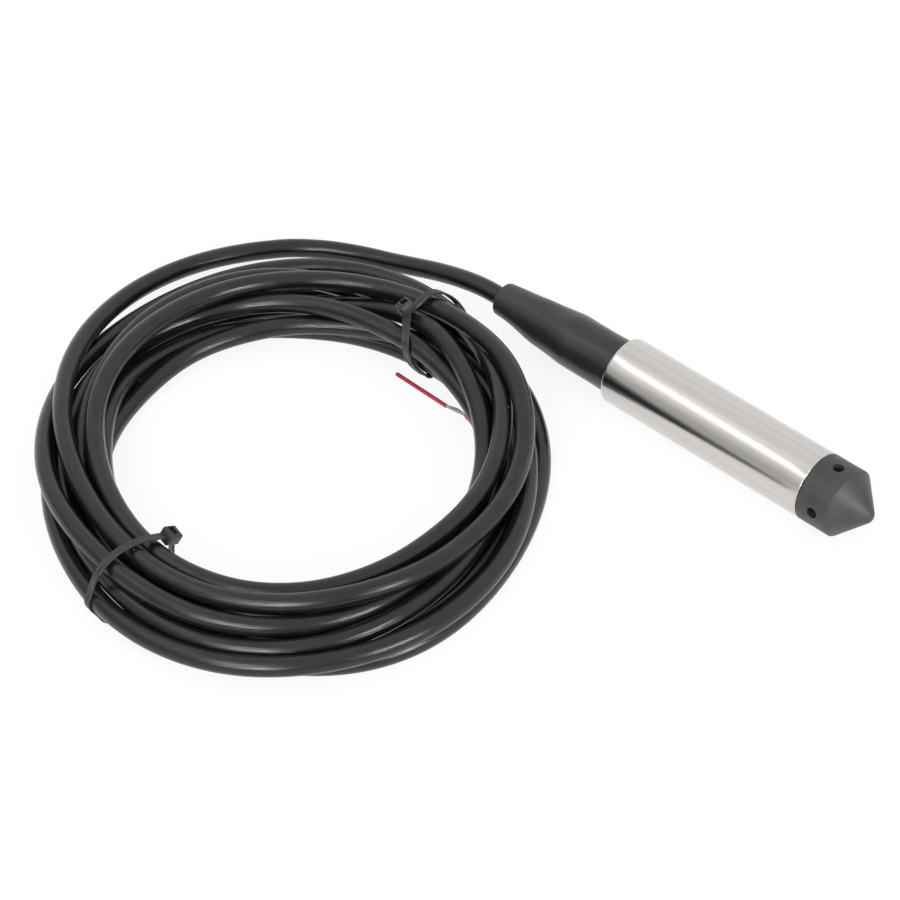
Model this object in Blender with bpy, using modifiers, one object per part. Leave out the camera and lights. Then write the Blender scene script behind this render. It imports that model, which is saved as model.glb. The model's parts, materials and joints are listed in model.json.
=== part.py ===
"""Submersible level transmitter: a stainless probe with a vented cable.

The probe lies along +X with its nose at +X and rests on z = 0.  Its cable leaves
the boot towards -X and lies beside it in a tied coil.  Lengths are in metres.
"""

import math

import bmesh
import bpy
from mathutils import Matrix, Vector

MM = 0.001

# Fits
GAP = 0.3 * MM                  # clearance between pieces that seat on each other
CUTTER_OVERRUN = 2.0 * MM       # how far a cutter runs past the wall it opens
ROUND_SIDES = 64                # facets of the turned pieces that show
INNER_SIDES = 36                # facets of the turned pieces inside the tube
SMALL_SIDES = 28                # facets of the small turned pieces

# Housing tube
TUBE_OD = 28.0 * MM
TUBE_WALL = 2.0 * MM
TUBE_BORE = TUBE_OD - 2 * TUBE_WALL
TUBE_LENGTH = 96.7 * MM
TUBE_REAR_ROUND = 1.4 * MM
TUBE_FRONT_ROUND = 0.3 * MM

# Nose cap
CAP_LENGTH = 14.0 * MM          # straight wall in front of the tube
CAP_CONE_HALF_ANGLE = math.radians(46.2)
CAP_TIP_ROUND = 2.6 * MM
CAP_SPIGOT = 9.0 * MM           # screwed length inside the tube
CAP_CHAMBER = 18.0 * MM         # bore of the water chamber
CAP_CONE_WALL = 3.2 * MM
INLET_BORE = 4.5 * MM
INLET_COUNT = 4
INLET_FROM_SEAM = 7.7 * MM
INLET_ROLL = math.radians(-4.0)

# Sensor and its seat
SEAT_WALL = 1.9 * MM
SENSOR_OD = TUBE_BORE - 2 * (SEAT_WALL + 2 * GAP)
SENSOR_LENGTH = 11.0 * MM
SENSOR_RIM = 1.0 * MM           # wall round the diaphragm recess
DIAPHRAGM_RECESS = 0.9 * MM
DIAPHRAGM_THICKNESS = 0.35 * MM
DIAPHRAGM_WAVES = 3
DIAPHRAGM_WAVE_HEIGHT = 0.18 * MM
SEAT_SHOULDER = 4.0 * MM
SEAT_SHOULDER_BORE = 15.0 * MM
O_RING_SECTION = 1.5 * MM
O_RING_GROOVE_WIDTH = 2.4 * MM
O_RING_GROOVE_FROM_FRONT = 3.6 * MM
RETAINER_THICKNESS = 3.2 * MM
RETAINER_LEDGE = 1.2 * MM       # how far the ring reaches over the sensor's rim
RETAINER_BORE = SENSOR_OD - 2 * RETAINER_LEDGE
RETAINER_SLOT_WIDTH = 2.0 * MM
RETAINER_SLOT_DEPTH = 1.4 * MM
HEADER_OD = 13.0 * MM
HEADER_THICKNESS = 2.2 * MM
PIN_OD = 0.9 * MM
PIN_REACH = 5.6 * MM
PIN_CIRCLE = 8.0 * MM
PIN_COUNT = 4
PIN_HOLE_CLEARANCE = 0.3 * MM
COMPENSATION_BOARD_OD = 16.0 * MM
COMPENSATION_BOARD_THICKNESS = 1.2 * MM
BOARD_BEHIND_HEADER = 2.4 * MM
LEAD_WIRE_RUN = 3.5 * MM         # pins to the amplifier board's front end

# Amplifier board and its carriers
BOARD_WIDTH = 17.0 * MM
BOARD_THICKNESS = 1.6 * MM
BOARD_FROM_TUBE_REAR = 27.0 * MM
CARRIER_LENGTH = 4.0 * MM
CARRIER_BORE = 14.0 * MM
CARRIER_INSET = 2.5 * MM        # board end to the near face of its carrier
CHIP_LENGTH = 9.9 * MM
CHIP_WIDTH = 6.0 * MM
CHIP_HEIGHT = 1.6 * MM
CHIP_LEGS = 7
CHIP_LEG_PITCH = 1.27 * MM
CHIP_LEG_WIDTH = 0.42 * MM
CHIP_LEG_REACH = 1.0 * MM
CHIP_LEG_THICKNESS = 0.3 * MM
CAPACITOR_OD = 5.0 * MM
CAPACITOR_HEIGHT = 4.8 * MM
DIODE_OD = 3.2 * MM
DIODE_LENGTH = 5.6 * MM
LEAD_WIRE_OD = 0.9 * MM
LEAD_WIRE_REST = 3.0 * MM       # how far a lead reaches over the board
LEAD_WIRE_RISE = 1.5 * MM       # arch of a lead over the board's edge
LEAD_ROW_SHARE = 0.6            # row of lead ends, as a share of the board's width
LEAD_WIRE_STEP = 1.6 * MM

# Gland end
PLUG_LENGTH = 9.0 * MM
PLUG_FROM_TUBE_REAR = 7.0 * MM
PLUG_GROOVE_WIDTH = 2.6 * MM
PLUG_O_RING_SECTION = 1.6 * MM
NECK_LENGTH = 17.0 * MM
GROMMET_WALL = 1.7 * MM
GROMMET_LENGTH = 8.0 * MM
WASHER_THICKNESS = 1.0 * MM
NUT_SIDE_WALL = 1.0 * MM        # flat of the nut to the neck's thread
NUT_ROOM = 0.36 * MM            # corner of the nut to the boot
NECK_WALL = 1.4 * MM            # grommet seat to the neck's thread
NUT_LENGTH = 8.0 * MM
NUT_WALL = 1.6 * MM             # closed end of the nut
CRIMP_OD = 11.0 * MM
CRIMP_LENGTH = 3.0 * MM

# Cable
CABLE_OD = 7.8 * MM
CORE_OD = 1.5 * MM
VENT_OD = 1.3 * MM
CORE_SPREAD = 1.9 * MM          # cores from the cable's axis
CORE_LAND_SPREAD = 3.0 * MM     # core ends on the board, from its middle
CORE_LAND = 1.6 * MM            # how far a core reaches over the board
CORE_RISE = 0.9 * MM            # arch of a core over the board's edge
CORE_STEP = 1.5 * MM
VENT_REACH = 4.6 * MM
VENT_DROP = 0.5 * MM
VENT_STEP = 1.2 * MM
JACKET_FROM_TUBE_REAR = 21.0 * MM

# Rubber boot, from the tube's rear rim towards the cable
BOOT_LENGTH = 62.8 * MM
BOOT_INSERT = 5.0 * MM          # part of the boot inside the tube
BOOT_INTO_BORE = 0.7 * MM       # boot to the tube's bore
BOOT_HEAD_RADIUS = TUBE_BORE / 2 - BOOT_INTO_BORE
BOOT_HEAD_LENGTH = 26.0 * MM
BOOT_SHOULDER = [(1.6 * MM, 0.12 * MM), (4.8 * MM, 0.75 * MM)]   # along the boot, and inwards
BOOT_WAIST_RADIUS = 8.7 * MM
BOOT_WAIST_AT = 46.0 * MM
BOOT_TAIL_RADIUS = 7.0 * MM
BOOT_TAIL_ROUND = 1.1 * MM
BOOT_CHAMBER_DEPTH = 19.0 * MM  # chamber for the nut, from the tube's rear rim
BOOT_CHAMBER_CONE = 9.0 * MM

# Where the cable ends inside the boot and the free lead begins
LEAD_START_INSIDE_BOOT = 1.0 * MM

# Free lead, laid by hand from the boot round the far side of the coil
LEAD_ROUTE = [
    (-92.2, 0.0, 14.0), (-103.0, 0.0, 13.6), (-114.0, -0.6, 12.2), (-126.0, -1.6, 9.6),
    (-138.0, -3.6, 6.8), (-149.0, -6.4, 4.9), (-161.0, -10.6, 4.1), (-173.6, -17.3, 4.0),
    (-185.5, -27.2, 4.0), (-195.6, -38.6, 4.0), (-203.6, -52.0, 4.0), (-209.4, -67.5, 4.2),
    (-211.4, -85.0, 4.8), (-209.6, -102.6, 6.2), (-205.2, -118.6, 8.0), (-198.6, -134.6, 9.8),
    (-190.9, -148.4, 11.0),
]
LEAD_SPACING = 16.0 * MM

# Coil, a ring of about eight turns pressed a little oval
COIL_CENTRE = (-92.0 * MM, -120.6 * MM)
COIL_RADIUS = 89.0 * MM
COIL_OVAL = (83.0 / 89.0, 95.0 / 89.0)
COIL_TURN = math.radians(39.6)
COIL_HALF_WIDTH = 14.5 * MM
COIL_HEIGHT = 20.4 * MM
COIL_CORNER = 8.0 * MM
COIL_SIDES = 60

# Cable ties
TIE_WIDTH = 2.6 * MM
TIE_THICKNESS = 1.1 * MM
TIE_LIFT = 0.25 * MM            # strap above the floor
TIE_CORNER = 7.0 * MM
TIE_HEAD = (5.2 * MM, 5.0 * MM, 4.2 * MM)
TIE_SLOT = (1.7 * MM, 3.0 * MM)
TIE_ROOM = 1.0 * MM             # strap to coil on each side of a loop pulled tight
TIE_UPPER = ((-104.6 * MM, -27.6 * MM), math.radians(98.0))     # centre and heading
TIE_UPPER_SLACK = (8.0 * MM, 1.6 * MM)                          # longer and higher than tight
TIE_LOWER = ((-96.4 * MM, -206.0 * MM), math.radians(262.0))
TIE_LOWER_SLACK = (6.0 * MM, 0.0)

# Free end of the cable, lying on the floor inside the coil
SLUG_OD = 1.6 * MM
SLUG_ENDS = [(-103.4, -51.6, 2.2), (-76.4, -52.8, 2.2)]
STRANDS_OD = 0.9 * MM
STRANDS_ENDS = [(-76.0, -52.7, 2.2), (-69.0, -50.8, 2.0)]

FREE_END_STEP = 6.0 * MM

# Places along the probe, worked out from the sizes above
AXIS_Z = TUBE_OD / 2
CONE_LENGTH = (TUBE_OD / 2) / math.tan(CAP_CONE_HALF_ANGLE)
TIP_CUT = CAP_TIP_ROUND / math.sin(CAP_CONE_HALF_ANGLE) - CAP_TIP_ROUND
PROBE_LENGTH = BOOT_LENGTH + TUBE_LENGTH + CAP_LENGTH + CONE_LENGTH - TIP_CUT
BOOT_REAR_X = -PROBE_LENGTH / 2
TUBE_REAR_X = BOOT_REAR_X + BOOT_LENGTH
SEAM_X = TUBE_REAR_X + TUBE_LENGTH
INNER_RADIUS = TUBE_BORE / 2 - GAP          # what slides into the tube
CABLE_HOLE_RADIUS = CABLE_OD / 2 + GAP
RETAINER_FRONT_X = SEAM_X - CAP_SPIGOT - GAP
RETAINER_REAR_X = RETAINER_FRONT_X - RETAINER_THICKNESS
SENSOR_FRONT_X = RETAINER_REAR_X - GAP
SENSOR_REAR_X = SENSOR_FRONT_X - SENSOR_LENGTH
SEAT_REAR_X = SENSOR_REAR_X - GAP - SEAT_SHOULDER
HEADER_REAR_X = SENSOR_REAR_X - GAP - HEADER_THICKNESS
COMPENSATION_X = HEADER_REAR_X - BOARD_BEHIND_HEADER
BOARD_REAR_X = TUBE_REAR_X + BOARD_FROM_TUBE_REAR
BOARD_FRONT_X = HEADER_REAR_X - PIN_REACH - LEAD_WIRE_RUN
BOARD_LENGTH = BOARD_FRONT_X - BOARD_REAR_X
FREE_BOARD = BOARD_LENGTH - CORE_LAND - LEAD_WIRE_REST - DIODE_OD - CHIP_LENGTH - CAPACITOR_OD
COMPONENT_GAP = FREE_BOARD / 4
DIODE_X = BOARD_REAR_X + CORE_LAND + COMPONENT_GAP + DIODE_OD / 2
CHIP_X = DIODE_X + DIODE_OD / 2 + COMPONENT_GAP + CHIP_LENGTH / 2
CAPACITOR_X = CHIP_X + CHIP_LENGTH / 2 + COMPONENT_GAP + CAPACITOR_OD / 2
BOARD_TOP_Z = AXIS_Z + BOARD_THICKNESS / 2
GROMMET_OD = CABLE_OD + 2 * GROMMET_WALL
NECK_OD = GROMMET_OD + 2 * NECK_WALL
NUT_CORNER_RADIUS = (NECK_OD + 2 * NUT_SIDE_WALL) / math.sqrt(3)
BOOT_CHAMBER_RADIUS = NUT_CORNER_RADIUS + NUT_ROOM
PLUG_REAR_X = TUBE_REAR_X + PLUG_FROM_TUBE_REAR
PLUG_FRONT_X = PLUG_REAR_X + PLUG_LENGTH
NECK_REAR_X = PLUG_REAR_X - NECK_LENGTH
JACKET_X = TUBE_REAR_X + JACKET_FROM_TUBE_REAR


def clear_scene():
    for thing in list(bpy.data.objects):
        bpy.data.objects.remove(thing, do_unlink=True)


def new_collection(name):
    collection = bpy.data.collections.new(name)
    bpy.context.scene.collection.children.link(collection)
    return collection


clear_scene()
PARTS = new_collection("level_transmitter")
CUTTERS = new_collection("cutters")


def material(name, colour, roughness, metallic=0.0):
    made = bpy.data.materials.new(name)
    made.use_nodes = True
    shader = made.node_tree.nodes["Principled BSDF"]
    shader.inputs["Base Color"].default_value = (*colour, 1.0)
    shader.inputs["Roughness"].default_value = roughness
    shader.inputs["Metallic"].default_value = metallic
    made.diffuse_color = (*colour, 1.0)
    return made


STEEL = material("satin_steel", (0.62, 0.60, 0.58), 0.32, 1.0)
PLASTIC = material("black_plastic", (0.045, 0.045, 0.047), 0.55)
RUBBER = material("black_rubber", (0.020, 0.020, 0.022), 0.50)
JACKET = material("cable_jacket", (0.012, 0.012, 0.013), 0.22)
NITRILE = material("nitrile_seal", (0.030, 0.030, 0.030), 0.60)
BOARD_GREEN = material("board_green", (0.03, 0.17, 0.07), 0.45)
CHIP_BLACK = material("chip_black", (0.02, 0.02, 0.02), 0.50)
GOLD = material("gold_pins", (0.85, 0.62, 0.25), 0.30, 1.0)
CARRIER_WHITE = material("carrier_white", (0.75, 0.74, 0.70), 0.50)
RED_CORE = material("red_insulation", (0.50, 0.02, 0.04), 0.40)
BLACK_CORE = material("black_insulation", (0.02, 0.02, 0.02), 0.40)
CLEAR_TUBE = material("vent_tube", (0.80, 0.80, 0.76), 0.35)
TINNED = material("tinned_copper", (0.60, 0.58, 0.55), 0.35, 1.0)


def add_object(name, data, finish, collection=PARTS):
    made = bpy.data.objects.new(name, data)
    collection.objects.link(made)
    if finish is not None:
        data.materials.append(finish)
    return made


def smooth(thing, angle=35.0):
    thing.data.shade_smooth()
    thing.data.set_sharp_from_angle(angle=math.radians(angle))


def turned(name, outline, finish, sides=SMALL_SIDES, closed=False, collection=PARTS):
    """Turn an outline of (x, radius) about the probe's axis.

    The outline is drawn as radius along +X and the probe's length along Z, and
    runs down its outer side from the nose end.  The piece is then laid along +X.
    """
    mesh = bpy.data.meshes.new(name)
    shape = bmesh.new()
    points = [shape.verts.new((radius, 0.0, x)) for x, radius in outline]
    for first, second in zip(points, points[1:]):
        shape.edges.new((first, second))
    if closed:
        shape.edges.new((points[-1], points[0]))
    shape.to_mesh(mesh)
    shape.free()
    made = add_object(name, mesh, finish, collection)
    screw = made.modifiers.new("turn", "SCREW")
    screw.axis = "Z"
    screw.steps = sides
    screw.render_steps = sides
    screw.use_merge_vertices = True
    screw.merge_threshold = 0.00001
    made.location = (0.0, 0.0, AXIS_Z)
    made.rotation_euler = (0.0, math.radians(90.0), 0.0)
    smooth(made)
    return made


def ring_piece(name, rear, front, outer, inner, finish, sides=SMALL_SIDES, collection=PARTS):
    outline = [(front, inner), (front, outer), (rear, outer), (rear, inner)]
    return turned(name, outline, finish, sides, closed=True, collection=collection)


def as_cutter(thing):
    thing.hide_render = True
    thing.display_type = "WIRE"
    return thing


def cut(target, cutter, operation="DIFFERENCE"):
    boolean = target.modifiers.new(cutter.name, "BOOLEAN")
    boolean.operation = operation
    boolean.object = cutter
    boolean.solver = "EXACT"


def block(name, size, centre, finish=None, collection=PARTS):
    """A box of the given size, centred where it is told."""
    mesh = bpy.data.meshes.new(name)
    shape = bmesh.new()
    bmesh.ops.create_cube(shape, size=1.0)
    bmesh.ops.scale(shape, vec=size, verts=shape.verts)
    shape.to_mesh(mesh)
    shape.free()
    made = add_object(name, mesh, finish, collection)
    made.location = centre
    return made


def rod(name, radius, length, centre, axis, finish=None, sides=16, collection=PARTS):
    """A round bar centred where it is told, along the given axis."""
    mesh = bpy.data.meshes.new(name)
    shape = bmesh.new()
    bmesh.ops.create_cone(
        shape, cap_ends=True, segments=sides, radius1=radius, radius2=radius, depth=length
    )
    shape.to_mesh(mesh)
    shape.free()
    made = add_object(name, mesh, finish, collection)
    made.location = centre
    made.rotation_mode = "QUATERNION"
    made.rotation_quaternion = Vector(axis).to_track_quat("Z", "Y")
    smooth(made)
    return made


def curve_tube(name, points, radius, finish, collection=PARTS):
    """A round tube along a list of points, with flat filled ends."""
    curve = bpy.data.curves.new(name, "CURVE")
    curve.dimensions = "3D"
    curve.bevel_depth = radius
    curve.bevel_resolution = 2
    curve.use_fill_caps = True
    spline = curve.splines.new("POLY")
    spline.points.add(len(points) - 1)
    for spot, point in zip(spline.points, points):
        spot.co = (*point, 1.0)
    return add_object(name, curve, finish, collection)


def smooth_route(route, spacing):
    """Read points at even steps from a smooth curve through the route's points."""
    knots = [Vector(point) for point in route]
    ends = [2 * knots[0] - knots[1], *knots, 2 * knots[-1] - knots[-2]]
    fine = []
    steps = 24
    for before, start, end, after in zip(ends, ends[1:], ends[2:], ends[3:]):
        for step in range(steps):
            t = step / steps
            fine.append(0.5 * (
                2 * start + (end - before) * t
                + (2 * before - 5 * start + 4 * end - after) * t ** 2
                + (3 * start - before - 3 * end + after) * t ** 3
            ))
    fine.append(knots[-1])
    total = sum((b - a).length for a, b in zip(fine, fine[1:]))
    count = max(2, round(total / spacing))
    wanted = [total * index / count for index in range(1, count)]
    read = [fine[0]]
    walked = 0.0
    for first, second in zip(fine, fine[1:]):
        length = (second - first).length
        while wanted and wanted[0] <= walked + length:
            read.append(first.lerp(second, (wanted.pop(0) - walked) / length))
        walked += length
    return read + [fine[-1]]


def arc(centre, radius, start, end, count):
    """Points of an arc in the outline's (x, radius) plane, angles in degrees."""
    angles = [math.radians(start + (end - start) * step / count) for step in range(count + 1)]
    return [(centre[0] + radius * math.cos(a), centre[1] + radius * math.sin(a)) for a in angles]


def around_axis(x, radius, angle):
    """A place at the given angle round the probe, from the top towards -Y."""
    return (x, -radius * math.sin(angle), AXIS_Z + radius * math.cos(angle))


def make_housing_tube():
    outer = TUBE_OD / 2
    bore = TUBE_BORE / 2
    front = SEAM_X
    rear = TUBE_REAR_X
    front_arc = arc((front - TUBE_FRONT_ROUND, outer - TUBE_FRONT_ROUND), TUBE_FRONT_ROUND, 0, 90, 3)
    rear_arc = arc((rear + TUBE_REAR_ROUND, outer - TUBE_REAR_ROUND), TUBE_REAR_ROUND, 90, 180, 5)
    outline = [(front, bore), *front_arc, *rear_arc, (rear, bore)]
    turned("housing_tube", outline, STEEL, ROUND_SIDES, closed=True)


def make_nose_cap():
    outer = TUBE_OD / 2
    chamber = CAP_CHAMBER / 2
    shoulder = SEAM_X + GAP
    cone_base = SEAM_X + CAP_LENGTH
    sharp_tip = cone_base + CONE_LENGTH
    ball_x = sharp_tip - CAP_TIP_ROUND / math.sin(CAP_CONE_HALF_ANGLE)
    side = math.degrees(math.pi / 2 - CAP_CONE_HALF_ANGLE)
    tip = arc((ball_x, 0.0), CAP_TIP_ROUND, 0, side, 4)
    tip[0] = (ball_x + CAP_TIP_ROUND, 0.0)
    inner_tip = sharp_tip - CAP_CONE_WALL / math.sin(CAP_CONE_HALF_ANGLE)
    inner_base = inner_tip - chamber / math.tan(CAP_CONE_HALF_ANGLE)
    spigot_rear = SEAM_X - CAP_SPIGOT
    outline = [
        *tip,
        (cone_base, outer),
        (shoulder, outer),
        (shoulder, INNER_RADIUS),
        (spigot_rear, INNER_RADIUS),
        (spigot_rear, chamber),
        (inner_base, chamber),
        (inner_tip, 0.0),
    ]
    cap = turned("nose_cap", outline, PLASTIC, ROUND_SIDES)
    inlet_x = SEAM_X + INLET_FROM_SEAM
    reach = outer - chamber + 2 * CUTTER_OVERRUN
    for index in range(INLET_COUNT):
        angle = INLET_ROLL + index * 2 * math.pi / INLET_COUNT
        centre = around_axis(inlet_x, (outer + chamber) / 2, angle)
        axis = Vector(around_axis(0.0, 1.0, angle)) - Vector((0.0, 0.0, AXIS_Z))
        drill = rod(f"inlet_drill_{index + 1}", INLET_BORE / 2, reach, centre, axis, sides=20,
                    collection=CUTTERS)
        cut(cap, as_cutter(drill))


def make_sensor():
    seat_pocket = SENSOR_OD / 2 + GAP
    seat = [
        (SENSOR_FRONT_X - GAP, seat_pocket),
        (SENSOR_FRONT_X - GAP, INNER_RADIUS),
        (SEAT_REAR_X, INNER_RADIUS),
        (SEAT_REAR_X, SEAT_SHOULDER_BORE / 2),
        (SENSOR_REAR_X - GAP, SEAT_SHOULDER_BORE / 2),
        (SENSOR_REAR_X - GAP, seat_pocket),
    ]
    turned("sensor_seat", seat, STEEL, INNER_SIDES, closed=True)

    radius = SENSOR_OD / 2
    groove_floor = seat_pocket - O_RING_SECTION - 2 * GAP
    groove_front = SENSOR_FRONT_X - O_RING_GROOVE_FROM_FRONT
    groove_rear = groove_front - O_RING_GROOVE_WIDTH
    recess = SENSOR_FRONT_X - DIAPHRAGM_RECESS
    can = [
        (recess, 0.0),
        (recess, radius - SENSOR_RIM),
        (SENSOR_FRONT_X, radius - SENSOR_RIM),
        (SENSOR_FRONT_X, radius),
        (groove_front, radius),
        (groove_front, groove_floor),
        (groove_rear, groove_floor),
        (groove_rear, radius),
        (SENSOR_REAR_X, radius),
        (SENSOR_REAR_X, 0.0),
    ]
    turned("sensor_can", can, STEEL, INNER_SIDES)

    seal_radius = (groove_floor + seat_pocket) / 2
    make_o_ring("sensor_o_ring", (groove_front + groove_rear) / 2, seal_radius, O_RING_SECTION)

    disc_radius = radius - SENSOR_RIM - GAP
    rear_face = recess + GAP
    steps = 3 * DIAPHRAGM_WAVES
    wave = []
    for step in range(steps, -1, -1):
        share = step / steps
        rise = DIAPHRAGM_WAVE_HEIGHT * math.sin(math.pi * DIAPHRAGM_WAVES * share) ** 2
        wave.append((rise, disc_radius * share))
    front_line = [(rear_face + DIAPHRAGM_THICKNESS + rise, r) for rise, r in reversed(wave)]
    rear_line = [(rear_face + rise, r) for rise, r in wave]
    turned("sensor_diaphragm", front_line + rear_line, STEEL, SMALL_SIDES)

    retainer = ring_piece("retaining_ring", RETAINER_REAR_X, RETAINER_FRONT_X, INNER_RADIUS,
                          RETAINER_BORE / 2, STEEL, INNER_SIDES)
    slot = block("retainer_slot", (RETAINER_SLOT_DEPTH * 2, TUBE_OD, RETAINER_SLOT_WIDTH),
                 (RETAINER_FRONT_X, 0.0, AXIS_Z), collection=CUTTERS)
    cut(retainer, as_cutter(slot))


def make_o_ring(name, x, ring_radius, section):
    seal = bpy.data.meshes.new(name)
    shape = bmesh.new()
    sides = 8
    points = [
        shape.verts.new((
            ring_radius + section / 2 * math.cos(-2 * math.pi * step / sides), 0.0,
            x + section / 2 * math.sin(-2 * math.pi * step / sides),
        ))
        for step in range(sides)
    ]
    for first, second in zip(points, points[1:] + points[:1]):
        shape.edges.new((first, second))
    shape.to_mesh(seal)
    shape.free()
    made = add_object(name, seal, NITRILE)
    screw = made.modifiers.new("turn", "SCREW")
    screw.axis = "Z"
    screw.steps = SMALL_SIDES
    screw.render_steps = SMALL_SIDES
    screw.merge_threshold = 0.00001
    screw.use_merge_vertices = True
    made.location = (0.0, 0.0, AXIS_Z)
    made.rotation_euler = (0.0, math.radians(90.0), 0.0)
    smooth(made, 60.0)


def pin_places():
    """Angle, y and z of each header pin."""
    places = []
    for index in range(PIN_COUNT):
        angle = math.radians(45.0) + index * 2 * math.pi / PIN_COUNT
        _, y, z = around_axis(0.0, PIN_CIRCLE / 2, angle)
        places.append((y, z))
    return places


def make_header():
    header = turned(
        "sensor_header",
        [
            (SENSOR_REAR_X - GAP, 0.0),
            (SENSOR_REAR_X - GAP, HEADER_OD / 2),
            (HEADER_REAR_X, HEADER_OD / 2),
            (HEADER_REAR_X, 0.0),
        ],
        GOLD,
    )
    board = turned(
        "compensation_board",
        [
            (COMPENSATION_X, 0.0),
            (COMPENSATION_X, COMPENSATION_BOARD_OD / 2),
            (COMPENSATION_X - COMPENSATION_BOARD_THICKNESS, COMPENSATION_BOARD_OD / 2),
            (COMPENSATION_X - COMPENSATION_BOARD_THICKNESS, 0.0),
        ],
        BOARD_GREEN,
    )
    inside = HEADER_THICKNESS / 2
    for index, (y, z) in enumerate(pin_places(), start=1):
        start = HEADER_REAR_X + inside
        centre = (start - (PIN_REACH + inside) / 2, y, z)
        pin = rod(f"header_pin_{index}", PIN_OD / 2, PIN_REACH + inside, centre, (1, 0, 0),
                  sides=10, collection=CUTTERS)
        cut(header, as_cutter(pin), "UNION")
        hole = rod(f"pin_hole_{index}", PIN_OD / 2 + PIN_HOLE_CLEARANCE, PIN_REACH * 2, centre,
                   (1, 0, 0), sides=12, collection=CUTTERS)
        cut(board, as_cutter(hole))


def make_sensor_leads():
    """Four short leads, from the pins over the amplifier board's front end."""
    rear = HEADER_REAR_X - PIN_REACH - GAP
    rest_z = BOARD_TOP_Z + GAP + LEAD_WIRE_OD / 2
    pitch = BOARD_WIDTH * LEAD_ROW_SHARE / (PIN_COUNT - 1)
    ordered = sorted(pin_places(), key=lambda place: (place[0], place[1]))
    for index, (y, z) in enumerate(ordered):
        land_y = (index - (PIN_COUNT - 1) / 2) * pitch
        run = rear - BOARD_FRONT_X
        high_z = rest_z + LEAD_WIRE_RISE
        points = [
            (rear, y, z),
            (rear - run * 0.25, y, z),
            (rear - run * 0.6, (y + land_y) / 2, (z + high_z) / 2),
            (BOARD_FRONT_X + GAP, land_y, high_z),
            (BOARD_FRONT_X - LEAD_WIRE_REST / 2, land_y, rest_z + LEAD_WIRE_RISE / 4),
            (BOARD_FRONT_X - LEAD_WIRE_REST, land_y, rest_z),
        ]
        curve_tube(f"sensor_lead_{index + 1}", smooth_route(points, LEAD_WIRE_STEP), LEAD_WIRE_OD / 2,
                   RED_CORE if index == 0 else BLACK_CORE)


def make_amplifier():
    middle_x = (BOARD_REAR_X + BOARD_FRONT_X) / 2
    block("amplifier_board", (BOARD_LENGTH, BOARD_WIDTH, BOARD_THICKNESS),
          (middle_x, 0.0, AXIS_Z), BOARD_GREEN)

    slot_size = (CARRIER_LENGTH * 2, BOARD_WIDTH + 2 * GAP, BOARD_THICKNESS + 2 * GAP)
    rear_carrier_x = BOARD_REAR_X + CARRIER_INSET + CARRIER_LENGTH / 2
    front_carrier_x = BOARD_FRONT_X - CARRIER_INSET - CARRIER_LENGTH / 2
    for name, x in (("board_carrier_rear", rear_carrier_x),
                    ("board_carrier_front", front_carrier_x)):
        carrier = ring_piece(name, x - CARRIER_LENGTH / 2, x + CARRIER_LENGTH / 2, INNER_RADIUS,
                             CARRIER_BORE / 2, CARRIER_WHITE, INNER_SIDES)
        slot = block(f"{name}_slot", slot_size, (x, 0.0, AXIS_Z), collection=CUTTERS)
        cut(carrier, as_cutter(slot))

    make_chip()

    capacitor_centre = (CAPACITOR_X, 0.0, BOARD_TOP_Z + GAP + CAPACITOR_HEIGHT / 2)
    rod("filter_capacitor", CAPACITOR_OD / 2, CAPACITOR_HEIGHT, capacitor_centre, (0, 0, 1),
        TINNED, sides=24)

    diode_centre = (DIODE_X, 0.0, BOARD_TOP_Z + GAP + DIODE_OD / 2)
    rod("surge_diode", DIODE_OD / 2, DIODE_LENGTH, diode_centre, (0, 1, 0), CHIP_BLACK, sides=16)


def make_chip():
    x = CHIP_X
    floor = BOARD_TOP_Z + GAP
    body_z = floor + CHIP_LEG_THICKNESS + CHIP_HEIGHT / 2
    chip = block("signal_chip", (CHIP_LENGTH, CHIP_WIDTH, CHIP_HEIGHT), (x, 0.0, body_z),
                 CHIP_BLACK)
    drop = CHIP_HEIGHT / 2 + CHIP_LEG_THICKNESS
    leg_size = (CHIP_LEG_WIDTH, CHIP_WIDTH + 2 * CHIP_LEG_REACH, drop)
    for index in range(CHIP_LEGS):
        leg_x = x + (index - (CHIP_LEGS - 1) / 2) * CHIP_LEG_PITCH
        leg = block(f"chip_leg_{index + 1}", leg_size, (leg_x, 0.0, floor + drop / 2),
                    collection=CUTTERS)
        cut(chip, as_cutter(leg), "UNION")


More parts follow.
